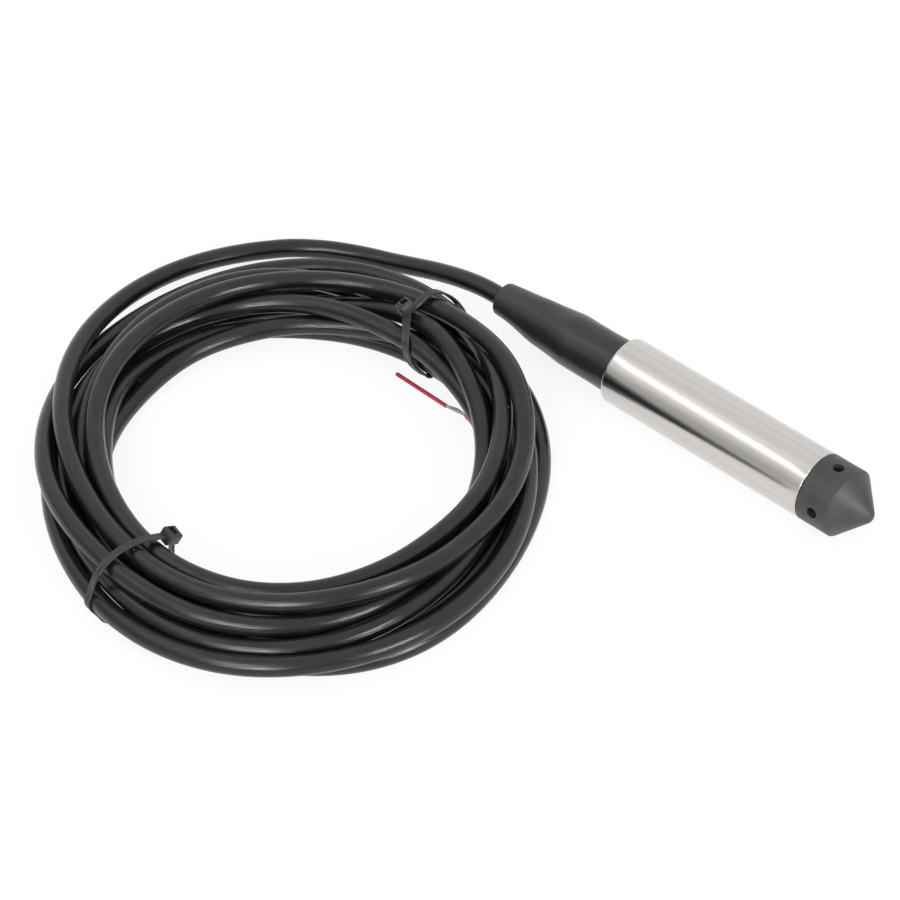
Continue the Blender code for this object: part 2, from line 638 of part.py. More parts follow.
def make_gland():
    neck = NECK_OD / 2
    grommet_seat = GROMMET_OD / 2 + GAP
    groove_floor = TUBE_BORE / 2 - PLUG_O_RING_SECTION - 2 * GAP
    groove_front = (PLUG_FRONT_X + PLUG_REAR_X + PLUG_GROOVE_WIDTH) / 2
    groove_rear = groove_front - PLUG_GROOVE_WIDTH
    seat_depth = NECK_REAR_X + GROMMET_LENGTH + WASHER_THICKNESS + 2 * GAP
    plug = [
        (PLUG_FRONT_X, CABLE_HOLE_RADIUS),
        (PLUG_FRONT_X, INNER_RADIUS),
        (groove_front, INNER_RADIUS),
        (groove_front, groove_floor),
        (groove_rear, groove_floor),
        (groove_rear, INNER_RADIUS),
        (PLUG_REAR_X, INNER_RADIUS),
        (PLUG_REAR_X, neck),
        (NECK_REAR_X, neck),
        (NECK_REAR_X, grommet_seat),
        (seat_depth, grommet_seat),
        (seat_depth, CABLE_HOLE_RADIUS),
    ]
    turned("end_plug", plug, STEEL, INNER_SIDES, closed=True)
    make_o_ring("end_plug_o_ring", (groove_front + groove_rear) / 2,
                (groove_floor + TUBE_BORE / 2) / 2, PLUG_O_RING_SECTION)

    washer_rear = NECK_REAR_X
    washer_front = washer_rear + WASHER_THICKNESS
    grommet_rear = washer_front + GAP
    ring_piece("thrust_washer", washer_rear, washer_front, GROMMET_OD / 2, CABLE_HOLE_RADIUS,
               STEEL)
    ring_piece("cable_grommet", grommet_rear, grommet_rear + GROMMET_LENGTH, GROMMET_OD / 2,
               CABLE_HOLE_RADIUS, NITRILE)

    nut_rear = NECK_REAR_X - GAP - NUT_WALL
    nut_front = nut_rear + NUT_LENGTH
    hexagon = rod("gland_nut", NUT_CORNER_RADIUS, NUT_LENGTH,
                  ((nut_rear + nut_front) / 2, 0.0, AXIS_Z), (1, 0, 0), STEEL, sides=6)
    hexagon.data.shade_flat()
    bore = ring_bore("gland_nut_bore", nut_rear + NUT_WALL, nut_front + CUTTER_OVERRUN,
                     neck + GAP)
    hole = ring_bore("gland_nut_hole", nut_rear - CUTTER_OVERRUN, nut_front, CABLE_HOLE_RADIUS)
    cut(hexagon, bore)
    cut(hexagon, hole)


def ring_bore(name, rear, front, radius):
    centre = ((rear + front) / 2, 0.0, AXIS_Z)
    return as_cutter(rod(name, radius, front - rear, centre, (1, 0, 0), sides=SMALL_SIDES,
                         collection=CUTTERS))


def make_boot():
    front = TUBE_REAR_X + BOOT_INSERT
    head_rear = TUBE_REAR_X - BOOT_HEAD_LENGTH
    waist = TUBE_REAR_X - BOOT_WAIST_AT
    tail_arc = arc((BOOT_REAR_X + BOOT_TAIL_ROUND, BOOT_TAIL_RADIUS - BOOT_TAIL_ROUND),
                   BOOT_TAIL_ROUND, 90, 180, 4)
    chamber_rear = TUBE_REAR_X - BOOT_CHAMBER_DEPTH
    shoulder = [(head_rear - along, BOOT_HEAD_RADIUS - inwards) for along, inwards in BOOT_SHOULDER]
    outline = [
        (front, BOOT_CHAMBER_RADIUS),
        (front, BOOT_HEAD_RADIUS),
        (head_rear, BOOT_HEAD_RADIUS),
        *shoulder,
        (waist, BOOT_WAIST_RADIUS),
        *tail_arc,
        (BOOT_REAR_X, CABLE_HOLE_RADIUS),
        (chamber_rear - BOOT_CHAMBER_CONE, CABLE_HOLE_RADIUS),
        (chamber_rear, BOOT_CHAMBER_RADIUS),
    ]
    turned("rubber_boot", outline, RUBBER, ROUND_SIDES, closed=True)


def make_held_cable():
    """The end of the cable that the gland holds, with its cores and vent tube."""
    start = BOOT_REAR_X + LEAD_START_INSIDE_BOOT
    turned(
        "cable_held_end",
        [(JACKET_X, 0.0), (JACKET_X, CABLE_OD / 2), (start, CABLE_OD / 2), (start, 0.0)],
        JACKET,
    )
    crimp_rear = PLUG_FRONT_X + GAP
    ring_piece("crimp_ring", crimp_rear, crimp_rear + CRIMP_LENGTH, CRIMP_OD / 2,
               CABLE_HOLE_RADIUS, STEEL)

    rest_z = BOARD_TOP_Z + GAP + CORE_OD / 2
    begin = JACKET_X + GAP
    land = BOARD_REAR_X + CORE_LAND
    for name, side, finish in (("core_red", -1, RED_CORE), ("core_black", 1, BLACK_CORE)):
        y = side * CORE_SPREAD
        points = [
            (begin, y, AXIS_Z),
            (begin + CORE_LAND, y, AXIS_Z + GAP),
            (BOARD_REAR_X - CORE_LAND, side * CORE_LAND_SPREAD, rest_z + CORE_RISE),
            (BOARD_REAR_X + GAP, side * CORE_LAND_SPREAD, rest_z + CORE_RISE / 2),
            (land, side * CORE_LAND_SPREAD, rest_z),
        ]
        curve_tube(name, smooth_route(points, CORE_STEP), CORE_OD / 2, finish)
    vent_z = AXIS_Z - CORE_SPREAD
    vent = [(begin, 0.0, vent_z), (begin + VENT_REACH / 2, 0.0, vent_z - VENT_DROP / 2),
            (begin + VENT_REACH, 0.0, vent_z - VENT_DROP)]
    curve_tube("vent_tube", smooth_route(vent, VENT_STEP), VENT_OD / 2, CLEAR_TUBE)


def make_lead():
    route = [tuple(value * MM for value in point) for point in LEAD_ROUTE]
    start = BOOT_REAR_X + LEAD_START_INSIDE_BOOT - GAP
    route[0] = (start, route[0][1], AXIS_Z)
    curve_tube("cable_lead", smooth_route(route, LEAD_SPACING), CABLE_OD / 2, JACKET)


def coil_section():
    """Rounded section of the ring, down its outer side from the top."""
    half = COIL_HALF_WIDTH
    corner = COIL_CORNER
    corners = (
        ((half - corner, COIL_HEIGHT - corner), 90, 0),
        ((half - corner, corner), 0, -90),
        ((-half + corner, corner), -90, -180),
        ((-half + corner, COIL_HEIGHT - corner), 180, 90),
    )
    points = []
    for (u, v), start, end in corners:
        points += arc((u, v), corner, start, end, 3)
    return [(COIL_RADIUS + u, v) for u, v in points]


def make_coil():
    mesh = bpy.data.meshes.new("cable_coil")
    shape = bmesh.new()
    points = [shape.verts.new((radius, 0.0, z)) for radius, z in coil_section()]
    for first, second in zip(points, points[1:] + points[:1]):
        shape.edges.new((first, second))
    bmesh.ops.spin(
        shape, geom=shape.verts[:] + shape.edges[:], cent=(0, 0, 0), axis=(0, 0, 1), dvec=(0, 0, 0),
        angle=2 * math.pi, steps=COIL_SIDES, use_merge=True, use_duplicate=False,
    )
    bmesh.ops.remove_doubles(shape, verts=shape.verts, dist=0.00001)
    bmesh.ops.recalc_face_normals(shape, faces=shape.faces)
    oval = Matrix.Diagonal((COIL_OVAL[0], COIL_OVAL[1], 1.0, 1.0))
    bmesh.ops.transform(shape, matrix=oval, verts=shape.verts)
    shape.to_mesh(mesh)
    shape.free()
    coil = add_object("cable_coil", mesh, JACKET)
    coil.location = (*COIL_CENTRE, 0.0)
    coil.rotation_euler = (0.0, 0.0, COIL_TURN)
    smooth(coil, 60.0)
    return coil


def loop_outline(length, height, thickness, corner):
    """Outer and inner rounded outlines of a strap loop standing on its long side."""
    outlines = []
    for inset in (0.0, thickness):
        half = length / 2 - inset
        low = inset
        high = height - inset
        turn = corner - inset
        points = []
        for u, v, start in ((half - turn, high - turn, 90), (half - turn, low + turn, 0),
                            (-half + turn, low + turn, -90), (-half + turn, high - turn, 180)):
            points += arc((u, v), turn, start, start - 90, 4)
        outlines.append(points)
    return outlines


def make_tie(name, centre, heading, length, height, head_place, coil):
    """A strap loop round the coil with its locking head, standing in an upright plane."""
    curve = bpy.data.curves.new(name, "CURVE")
    curve.dimensions = "2D"
    curve.fill_mode = "BOTH"
    curve.extrude = TIE_WIDTH / 2
    for outline in loop_outline(length, height, TIE_THICKNESS, TIE_CORNER):
        spline = curve.splines.new("POLY")
        spline.points.add(len(outline) - 1)
        for spot, (u, v) in zip(spline.points, outline):
            spot.co = (u, v, 0.0, 1.0)
        spline.use_cyclic_u = True
    strap = add_object(f"{name}_strap_curve", curve, None)
    bpy.context.view_layer.update()
    placing = (
        Matrix.Translation((*centre, TIE_LIFT))
        @ Matrix.Rotation(heading, 4, "Z")
        @ Matrix.Rotation(math.radians(90.0), 4, "X")
    )
    seen = strap.evaluated_get(bpy.context.evaluated_depsgraph_get())
    mesh = bpy.data.meshes.new_from_object(seen)
    bpy.data.objects.remove(strap, do_unlink=True)
    shape = bmesh.new()
    shape.from_mesh(mesh)
    bmesh.ops.remove_doubles(shape, verts=shape.verts, dist=0.00001)
    shape.to_mesh(mesh)
    shape.free()
    mesh.name = name
    tie = add_object(name, mesh, PLASTIC)
    tie.matrix_world = placing

    u, v = head_place
    head = block(f"{name}_head", TIE_HEAD, (0, 0, 0), collection=CUTTERS)
    head.matrix_world = placing @ Matrix.Translation((u, v, 0.0))
    cut(tie, as_cutter(head), "UNION")
    slot = block(f"{name}_slot", (TIE_HEAD[0] * 2, *TIE_SLOT), (0, 0, 0), collection=CUTTERS)
    slot.matrix_world = placing @ Matrix.Translation((u, v + TIE_SLOT[0] / 2 + GAP, 0.0))
    cut(tie, as_cutter(slot))

    groove_size = (length + 2 * CUTTER_OVERRUN, TIE_WIDTH + 2 * GAP, 2 * (TIE_LIFT + TIE_THICKNESS + GAP))
    groove = block(f"{name}_groove", groove_size, (*centre, 0.0), collection=CUTTERS)
    groove.rotation_euler = (0.0, 0.0, heading)
    cut(coil, as_cutter(groove))


def make_ties(coil):
    """The upper tie's head stands on its loop, the lower one's at the loop's inner end."""
    tight_length = 2 * (COIL_HALF_WIDTH * COIL_OVAL[1] + TIE_THICKNESS + TIE_ROOM)
    tight_height = COIL_HEIGHT + GAP - TIE_LIFT + TIE_THICKNESS

    length = tight_length + TIE_UPPER_SLACK[0]
    height = tight_height + TIE_UPPER_SLACK[1]
    head = (-TIE_HEAD[0] / 2, height + TIE_HEAD[1] / 2 - TIE_THICKNESS - GAP)
    make_tie("tie_upper", *TIE_UPPER, length, height, head, coil)

    length = tight_length + TIE_LOWER_SLACK[0]
    height = tight_height + TIE_LOWER_SLACK[1]
    head = (-length / 2, height - TIE_CORNER + TIE_HEAD[1] / 2)
    make_tie("tie_lower", *TIE_LOWER, length, height, head, coil)


def make_free_end():
    for name, ends, width, finish in (
        ("wire_insulation", SLUG_ENDS, SLUG_OD, RED_CORE),
        ("wire_strands", STRANDS_ENDS, STRANDS_OD, TINNED),
    ):
        points = [tuple(value * MM for value in point) for point in ends]
        curve_tube(name, smooth_route(points, FREE_END_STEP), width / 2, finish)


make_housing_tube()
make_nose_cap()
make_sensor()
make_header()
make_sensor_leads()
make_amplifier()
make_gland()
make_boot()
make_held_cable()
make_lead()
make_ties(make_coil())
make_free_end()
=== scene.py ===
"""Submersible level transmitter lying beside its tied coil of cable, finished for a studio picture.

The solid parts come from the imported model.  This script adds the finished skins, the cable,
the ties, the free wire and every material round them.  Lengths are in metres, apart from the
routes and the settling of the coil, which are in millimetres.
"""

import json
import math

import bpy
import numpy as np
from mathutils import Matrix, Vector


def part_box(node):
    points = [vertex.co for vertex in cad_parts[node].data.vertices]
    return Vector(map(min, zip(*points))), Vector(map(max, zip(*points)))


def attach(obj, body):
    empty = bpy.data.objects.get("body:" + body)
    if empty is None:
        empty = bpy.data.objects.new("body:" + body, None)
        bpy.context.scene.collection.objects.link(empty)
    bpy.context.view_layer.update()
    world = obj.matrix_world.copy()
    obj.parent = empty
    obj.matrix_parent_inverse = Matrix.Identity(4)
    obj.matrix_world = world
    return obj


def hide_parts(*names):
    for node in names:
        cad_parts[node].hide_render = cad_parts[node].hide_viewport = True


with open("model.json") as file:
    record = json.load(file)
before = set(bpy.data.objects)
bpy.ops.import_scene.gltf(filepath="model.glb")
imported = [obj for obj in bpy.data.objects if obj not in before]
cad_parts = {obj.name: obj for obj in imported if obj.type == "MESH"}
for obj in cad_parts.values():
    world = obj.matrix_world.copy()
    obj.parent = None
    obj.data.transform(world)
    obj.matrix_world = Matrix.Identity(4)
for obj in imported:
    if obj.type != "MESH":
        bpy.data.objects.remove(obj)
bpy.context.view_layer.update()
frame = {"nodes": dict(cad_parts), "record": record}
nodes = frame["nodes"]

MM = 0.001

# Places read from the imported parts
tube_low, tube_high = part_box("housing_tube")
cap_low, cap_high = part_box("nose_cap")
boot_low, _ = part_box("rubber_boot")
TUBE_RADIUS = (tube_high.z - tube_low.z) / 2
AXIS_Z = (tube_high.z + tube_low.z) / 2
TUBE_REAR = tube_low.x
SEAM = tube_high.x
CAP_RADIUS = (cap_high.z - cap_low.z) / 2
BOOT_REAR = boot_low.x

# Cable
CABLE_RADIUS = 3.9 * MM
CABLE_SIDES = 24
RING_STEP = 2.6 * MM
LEAD_START = BOOT_REAR + 0.7 * MM
SPAN_STEPS = 12                 # fine steps between two points of a route

# Free lead, laid from the boot round the far side of the coil (millimetres)
LEAD_ROUTE = [
    (-92.2, 0.0, 14.0), (-103.0, 0.0, 13.6), (-114.0, -0.6, 12.2), (-126.0, -1.6, 9.6),
    (-138.0, -3.6, 6.8), (-149.0, -6.4, 4.9), (-161.0, -10.6, 4.1), (-173.6, -17.3, 4.0),
]

# Mean line of the coil, an ellipse (millimetres and degrees)
RING_CENTRE = (-89.65, -123.2)
RING_AXES = (85.0, 92.5)
RING_TURN = 39.6

# The turns of the coil, listed from the lead to the cut end.  Each entry is an angle round
# the ring, how far outside the mean line the strand looks, and its height.  A strand above
# LOOK_HEIGHT looks moved outwards by SLANT of what it lies higher, and most so at SLANT_FROM.
LOOK_HEIGHT = 8.0
SLANT = 1.043
SLANT_FROM = 93.0
LANES = [
    [(89, 38.5, 4), (95, 39.1, 4), (102, 39.5, 4), (109, 39, 4), (116, 38.2, 4.2), (124, 36, 5),
     (131, 33.1, 6.4), (137, 30.5, 7.8), (142, 28.1, 9), (148, 24.8, 10.2), (155, 19.9, 11.4),
     (160, 15.8, 12.7), (165, 13.2, 14), (170, 9.8, 15.2), (175, 6.1, 16.2), (180, 2.5, 17),
     (190, -4, 17.8), (200, -8.7, 18.2), (210, -12.8, 18.3), (220, -16.4, 18.4), (230, -18.4, 18.6),
     (240, -20, 18.8), (250, -21, 19), (260, -22.5, 19), (270, -23.5, 18.8), (280, -23.5, 18.6),
     (290, -22.5, 18.4), (300, -20.9, 18.2), (310, -17.9, 18), (325, -13.6, 17.8), (335, -9.4, 17.8),
     (345, -5.1, 17.8), (355, -0.5, 17.8)],
    [(0, 1.5, 17.8), (5, 3.7, 17.8), (15, 7.2, 18.5), (22, 9.8, 19.5), (30, 12, 20), (38, 14.2, 20),
     (45, 15.6, 19.5), (55, 16.4, 18.5), (62, 17.1, 18), (70, 17.4, 17.8), (80, 17.6, 17.6),
     (90, 17.6, 17.5), (100, 17, 17.5), (110, 16.2, 17.5), (120, 14.8, 17.3), (130, 12.8, 17.2),
     (140, 10, 17), (150, 6.7, 16.8), (160, 2.2, 16.5), (170, -2.6, 16.5), (180, -9.3, 17),
     (190, -13, 17), (200, -17, 16.5), (210, -20, 16), (220, -22, 16), (230, -23.5, 16),
     (240, -25.4, 16), (255, -27, 16.3), (275, -28.4, 16.5), (295, -28.3, 16.5), (305, -27.2, 16.5),
     (315, -25.2, 16.5), (325, -22.6, 16.5), (335, -19.2, 16.5), (345, -14.9, 16.5),
     (355, -10.2, 16.8)],
    [(0, -8.2, 16.8), (5, -5.9, 16.5), (10, -3.5, 16), (20, 1.5, 14.5), (30, 6, 12.5), (40, 10.2, 11),
     (50, 14.5, 10), (60, 18.5, 9), (66, 20.8, 8.4), (75, 24.8, 6), (80, 26, 5), (90, 26.8, 4),
     (100, 26.2, 4), (110, 24.5, 4), (120, 22.1, 4), (130, 20.4, 4), (137, 19.5, 4.4), (148, 18, 7),
     (155, 17, 9.4), (162, 15.9, 11.5), (170, 13.6, 14), (180, 10.8, 16), (190, 7.4, 17),
     (200, 2.5, 17.5), (210, -2.5, 17.5), (220, -5.8, 17.3), (230, -8.3, 17.2), (240, -9.3, 17.2),
     (250, -9.5, 17), (260, -10.5, 17), (270, -11.3, 17), (280, -12, 16.8), (295, -13.5, 15.5),
     (310, -15, 12.5), (330, -16, 10.5), (345, -15.8, 9.2)],
    [(0, -12.7, 9.5), (5, -11.6, 10), (13, -10.1, 11.5), (20, -8.9, 12.5), (25, -7, 14),
     (30, -5.2, 15.5), (40, -0.9, 16), (50, 3.5, 14), (60, 6.5, 12), (70, 7.5, 9.5), (85, 4, 5),
     (100, 1.2, 4), (120, 3.1, 4), (140, 3.8, 4), (160, 1, 4), (180, -2, 4), (200, 0.1, 4),
     (225, -0.2, 4), (240, 1.1, 4), (250, 2.6, 4), (262, 4.2, 4), (270, 6.8, 4), (280, 9.8, 4),
     (295, 12.3, 4), (305, 12, 4), (315, 10.8, 4), (328, 8.4, 4), (335, 7.8, 4), (345, 7.5, 4)],
    [(0, 8.7, 4), (10, 9.7, 4), (22, 10.8, 4), (40, 12, 4), (60, 12.3, 4), (80, 11.5, 4),
     (100, 11.8, 4), (120, 12, 4), (140, 11.8, 4), (160, 9.5, 4), (180, 7.8, 4), (187, 8.2, 4),
     (200, 8, 4), (220, 7.6, 4), (240, 9.4, 4.2), (250, 9.8, 4.8), (262, 9.4, 6.5), (275, 7.9, 9),
     (290, 7.2, 11), (300, 6.8, 11.3), (320, 5.7, 11.3), (340, 4.8, 11.2)],
    [(0, 3.75, 10.6), (8, 4.2, 9.8), (20, 5, 7), (35, 4.6, 4.2), (50, 4.4, 4), (62, 4.6, 4),
     (72, 8.5, 5.5), (82, 14.5, 8), (95, 20.6, 10.6), (105, 21, 11), (115, 20.3, 11),
     (125, 17.8, 10.8), (135, 14.2, 11.5), (145, 10.3, 12), (155, 6, 11.5), (165, 1.8, 11),
     (173, -1.5, 11), (185, -4.5, 11), (200, -8.3, 11), (225, -7.4, 11), (240, -6.6, 11),
     (260, -6.5, 10), (280, -2, 7), (300, 2, 4), (330, -0.7, 4), (350, 1, 4)],
    [(0, 1, 4), (20, -0.4, 4), (30, -3.9, 4), (40, -8.2, 4), (50, -10, 4), (60, -10.8, 4),
     (75, -11.8, 4), (90, -11.9, 4), (103, -9.5, 4), (112, -6.5, 4), (120, -4.5, 4), (132, -3.8, 4),
     (150, -4.4, 4.4), (160, -5, 6), (170, -7.5, 9), (180, -9.6, 11.5), (190, -12.5, 11.2),
     (200, -16, 10.8), (225, -15.2, 10.8), (240, -14.5, 10.8), (260, -15.3, 10.8), (280, -15, 10),
     (300, -15.9, 9.5), (320, -13.3, 7), (335, -10.5, 5), (350, -8.1, 4.2)],
    [(0, -7, 5.2), (10, -7.7, 5.8), (20, -8.4, 6.4), (30, -8.7, 8.6), (40, -8.4, 10.6), (50, -6, 11.4),
     (60, -5, 12), (70, -3, 12), (80, -0.5, 12), (90, 2.4, 12), (100, 4.8, 12), (110, 6.5, 11.5),
     (120, 7.5, 11), (130, 8.2, 10.6), (140, 8.2, 10.2), (155, 7.5, 10.4), (170, 6.5, 10.8),
     (180, 5.5, 11), (190, 3.1, 11), (205, -0.8, 11), (215, -0.1, 11.3), (230, 0.8, 11.4),
     (240, 1.1, 11.6), (250, 1.6, 11.8), (262, 1.7, 12), (270, 0.9, 12), (278, -0.6, 11.8),
     (290, -2.5, 11.2), (300, -4.8, 10.8), (312, -6.5, 10.6), (325, -7.2, 10.4), (335, -7.9, 10.2)],
    [(0, -3.4, 10.8), (20, 0, 11.5), (35, -1, 11.5), (50, 0, 11), (65, -3.2, 10), (78, -8.2, 10.6),
     (90, -8.3, 11), (100, -9.1, 10), (110, -10.5, 8), (120, -10, 6.5), (135, -9.9, 5.6),
     (150, -9, 4.6), (160, -9.1, 4.2), (170, -9.9, 4), (183, -10.2, 4), (200, -7.8, 4), (225, -8.2, 4),
     (240, -6.8, 4), (260, -5.4, 4), (280, -6.4, 4), (300, -8.8, 4), (320, -13.2, 4), (338, -16.2, 4)],
]
FIRST_ANGLE = 95
LAST_ANGLE = 8 * 360 + 335
STATION = 5                     # degrees between worked-out points
STATION_LENGTH = 8.0            # what that is along the ring, in millimetres
STRAND_GAP = 7.86               # millimetres between the middles of strands that touch
FLOOR_TOUCH = 3.95              # lowest height of a strand's middle, in millimetres

# Stretches that lie under others, from and to, in degrees counted on from turn to turn
UNSEEN = [
    (765, 786), (857, 882), (1028, 1070), (1140, 1357), (1468, 1627), (1806, 1895), (1973, 2217),
    (2320, 2542), (2657, 2725), (2857, 2950), (3063, 3300),
]

# Settling: how strongly a strand keeps its look, its height, a soft bend and its room
REST_ROUNDS = 400
PARTING_ROUNDS = 12
SEEN_PULL = 1.0
UNSEEN_PULL = 0.08
HEIGHT_PULL = 0.06
UNSEEN_LIFT = 0.10
HELD_PULL = 5.0
HELD_ANGLE = 12                 # degrees from the first angle on that follow the lead
BEND_PULL = 8.0
TOUCH_PULL = 1.5


def hermite_track(keys, angles):
    """Smooth values at the wanted angles through given keys, without overshoot."""
    spots = np.array([k[0] for k in keys], float)
    found = []
    for column in (1, 2):
        values = np.array([k[column] for k in keys], float)
        steps = np.diff(values) / np.diff(spots)
        slopes = np.zeros(len(values))
        inner = steps[:-1] * steps[1:] > 0
        middle = np.zeros(len(values) - 2)
        middle[inner] = 2 * steps[:-1][inner] * steps[1:][inner] / (steps[:-1][inner] + steps[1:][inner])
        slopes[1:-1] = middle
        slopes[0] = steps[0]
        slopes[-1] = steps[-1]
        index = np.clip(np.searchsorted(spots, angles, side="right") - 1, 0, len(spots) - 2)
        width = spots[index + 1] - spots[index]
        t = (angles - spots[index]) / width
        found.append(
            (2 * t ** 3 - 3 * t ** 2 + 1) * values[index]
            + (t ** 3 - 2 * t ** 2 + t) * width * slopes[index]
            + (-2 * t ** 3 + 3 * t ** 2) * values[index + 1]
            + (t ** 3 - t ** 2) * width * slopes[index + 1]
        )
    return found


def ring_place(angle, offset, height):
    """Place in the row frame, in millimetres, of a spot given round the ring."""
    turn = np.radians(RING_TURN)
    phi = np.radians(angle)
    a, b = RING_AXES
    x = a * np.cos(phi)
    y = b * np.sin(phi)
    nx = b * np.cos(phi)
    ny = a * np.sin(phi)
    long = np.hypot(nx, ny)
    x = x + offset * nx / long
    y = y + offset * ny / long
    return np.stack([
        RING_CENTRE[0] + x * np.cos(turn) - y * np.sin(turn),
        RING_CENTRE[1] + x * np.sin(turn) + y * np.cos(turn),
        np.broadcast_to(height, np.shape(x)),
    ], axis=-1)


def part_strands(offset, height):
    """Push strands that lie inside each other apart, turn by turn, and off the floor."""
    slope = np.gradient(offset, STATION_LENGTH)
    per_turn = 360 // STATION
    for _ in range(PARTING_ROUNDS):
        for shift in range(per_turn, len(offset), per_turn):
            lean = 1 / np.sqrt(1 + (slope[shift:] - slope[:-shift]) ** 2)
            across = offset[shift:] - offset[:-shift]
            above = height[shift:] - height[:-shift]
            apart = np.hypot(across * lean, above)
            push = np.clip(STRAND_GAP - apart, 0, None) * 0.5
            apart = np.maximum(apart, 1e-6)
            offset[shift:] += push * across / apart
            height[shift:] += push * above / apart
            offset[:-shift] -= push * across / apart
            height[:-shift] -= push * above / apart
        height = np.maximum(height, FLOOR_TOUCH)
    return offset, height


def settle_turns():
    """Work out offset and height of every station, with the strands beside and on each other."""
    keys = []
    for turn, lane in enumerate(LANES):
        keys += [(angle + 360 * turn, look, height) for angle, look, height in lane]
    angles = np.arange(FIRST_ANGLE, LAST_ANGLE + STATION, STATION, dtype=float)
    look, wanted = hermite_track(keys, angles)
    slant = SLANT * np.cos(np.radians(angles - SLANT_FROM))
    seen = np.ones(len(angles), bool)
    for start, stop in UNSEEN:
        seen[(angles > start) & (angles < stop)] = False
    count = len(angles)
    pull = np.where(seen, SEEN_PULL, UNSEEN_PULL)
    lift = np.where(seen, HEIGHT_PULL, UNSEEN_LIFT)
    near_lead = angles < FIRST_ANGLE + HELD_ANGLE
    lift[near_lead] = HELD_PULL
    pull[near_lead] = HELD_PULL
    bending = np.zeros((count - 2, count))
    for row in range(count - 2):
        bending[row, row:row + 3] = (1.0, -2.0, 1.0)
    stiff = BEND_PULL * bending.T @ bending
    touch = TOUCH_PULL * np.eye(count)
    system = np.block([
        [np.diag(pull) + stiff + touch, np.diag(pull * slant)],
        [np.diag(pull * slant), np.diag(pull * slant ** 2 + lift) + stiff + touch],
    ])
    solve = np.linalg.inv(system)
    aim = look + LOOK_HEIGHT * slant
    held_offset = look - slant * (wanted - LOOK_HEIGHT)
    held_height = wanted.copy()
    owed_offset = np.zeros(count)
    owed_height = np.zeros(count)
    for _ in range(REST_ROUNDS):
        right = np.concatenate([
            pull * aim + TOUCH_PULL * (held_offset - owed_offset),
            pull * slant * aim + lift * wanted + TOUCH_PULL * (held_height - owed_height),
        ])
        both = solve @ right
        offset, height = both[:count], both[count:]
        held_offset, held_height = part_strands(offset + owed_offset, height + owed_height)
        owed_offset += offset - held_offset
        owed_height += height - held_height
    return angles, offset, height


def curve_through(points, step):
    """Points at even steps on a smooth curve through the given points."""
    knots = np.asarray(points, float)
    ends = np.vstack([2 * knots[0] - knots[1], knots, 2 * knots[-1] - knots[-2]])
    t = np.arange(SPAN_STEPS)[:, None] / SPAN_STEPS
    fine = []
    for before, start, end, after in zip(ends, ends[1:], ends[2:], ends[3:]):
        fine.append(0.5 * (
            2 * start + (end - before) * t
            + (2 * before - 5 * start + 4 * end - after) * t ** 2
            + (3 * start - before - 3 * end + after) * t ** 3
        ))
    fine = np.vstack(fine + [knots[-1:]])
    walked = np.concatenate([[0], np.cumsum(np.linalg.norm(np.diff(fine, axis=0), axis=1))])
    count = max(2, int(round(walked[-1] / step)))
    wanted = np.linspace(0, walked[-1], count + 1)
    return np.stack([np.interp(wanted, walked, fine[:, i]) for i in range(3)], axis=1)


def cable_line():
    """The cable's whole middle line, from the boot through the lead and all turns."""
    angles, offset, height = settle_turns()
    turns = ring_place(angles, offset, height) * MM
    route = np.array(LEAD_ROUTE) * MM
    route[0] = (LEAD_START, 0.0, AXIS_Z)
    return curve_through(np.vstack([route, turns]), RING_STEP)


# Modelling by hand
def pick_only(piece):
    bpy.ops.object.select_all(action="DESELECT")
    piece.select_set(True)
    bpy.context.view_layer.objects.active = piece


def settle_place(piece):
    """Put a piece's place and turn into its mesh."""
    pick_only(piece)
    bpy.ops.object.transform_apply(location=True, rotation=True, scale=True)


def smooth_shade(piece, degrees=35):
    pick_only(piece)
    bpy.ops.object.shade_smooth_by_angle(angle=math.radians(degrees))


def swept_faces(rings, sides):
    """Faces between rings of the same number of corners, with both ends closed."""
    faces = []
    for i in range(rings - 1):
        for j in range(sides):
            k = (j + 1) % sides
            faces.append((i * sides + j, i * sides + k, (i + 1) * sides + k, (i + 1) * sides + j))
    faces.append(tuple(range(sides - 1, -1, -1)))
    faces.append(tuple((rings - 1) * sides + j for j in range(sides)))
    return faces


def linked_mesh(name, verts, faces):
    """A new object in the scene from corners and faces."""
    mesh = bpy.data.meshes.new(name)
    mesh.from_pydata(verts, [], faces)
    mesh.update()
    piece = bpy.data.objects.new(name, mesh)
    bpy.context.scene.collection.objects.link(piece)
    return piece


def tube_mesh(name, middle, radius, sides):
    """A round tube whose rings stand square to a line, with its length and turn kept as UVs."""
    count = len(middle)
    ahead = np.gradient(middle, axis=0)
    ahead /= np.linalg.norm(ahead, axis=1)[:, None]
    side = np.zeros_like(middle)
    first = np.cross(ahead[0], (0.0, 0.0, 1.0))
    side[0] = first / np.linalg.norm(first)
    for i in range(1, count):
        level = side[i - 1] - ahead[i] * np.dot(side[i - 1], ahead[i])
        side[i] = level / np.linalg.norm(level)
    up = np.cross(side, ahead)
    around = np.linspace(0, 2 * math.pi, sides, endpoint=False)
    rings = (middle[:, None, :]
             + radius * (np.cos(around)[None, :, None] * side[:, None, :]
                         + np.sin(around)[None, :, None] * up[:, None, :]))
    piece = linked_mesh(name, [tuple(v) for v in rings.reshape(-1, 3)], swept_faces(count, sides))
    walked = np.concatenate([[0], np.cumsum(np.linalg.norm(np.diff(middle, axis=0), axis=1))])
    uvs = []
    for here, beyond in zip(walked, walked[1:]):
        for j in range(sides):
            left, right = j / sides, (j + 1) / sides
            uvs += [(here, left), (here, right), (beyond, right), (beyond, left)]
    uvs += [(0.0, 0.0)] * sides + [(walked[-1], 0.0)] * sides
    layer = piece.data.uv_layers.new(name="length_turn")
    layer.data.foreach_set("uv", np.array(uvs, np.float32).ravel())
    piece.data.validate()
    smooth_shade(piece, 50)
    return piece


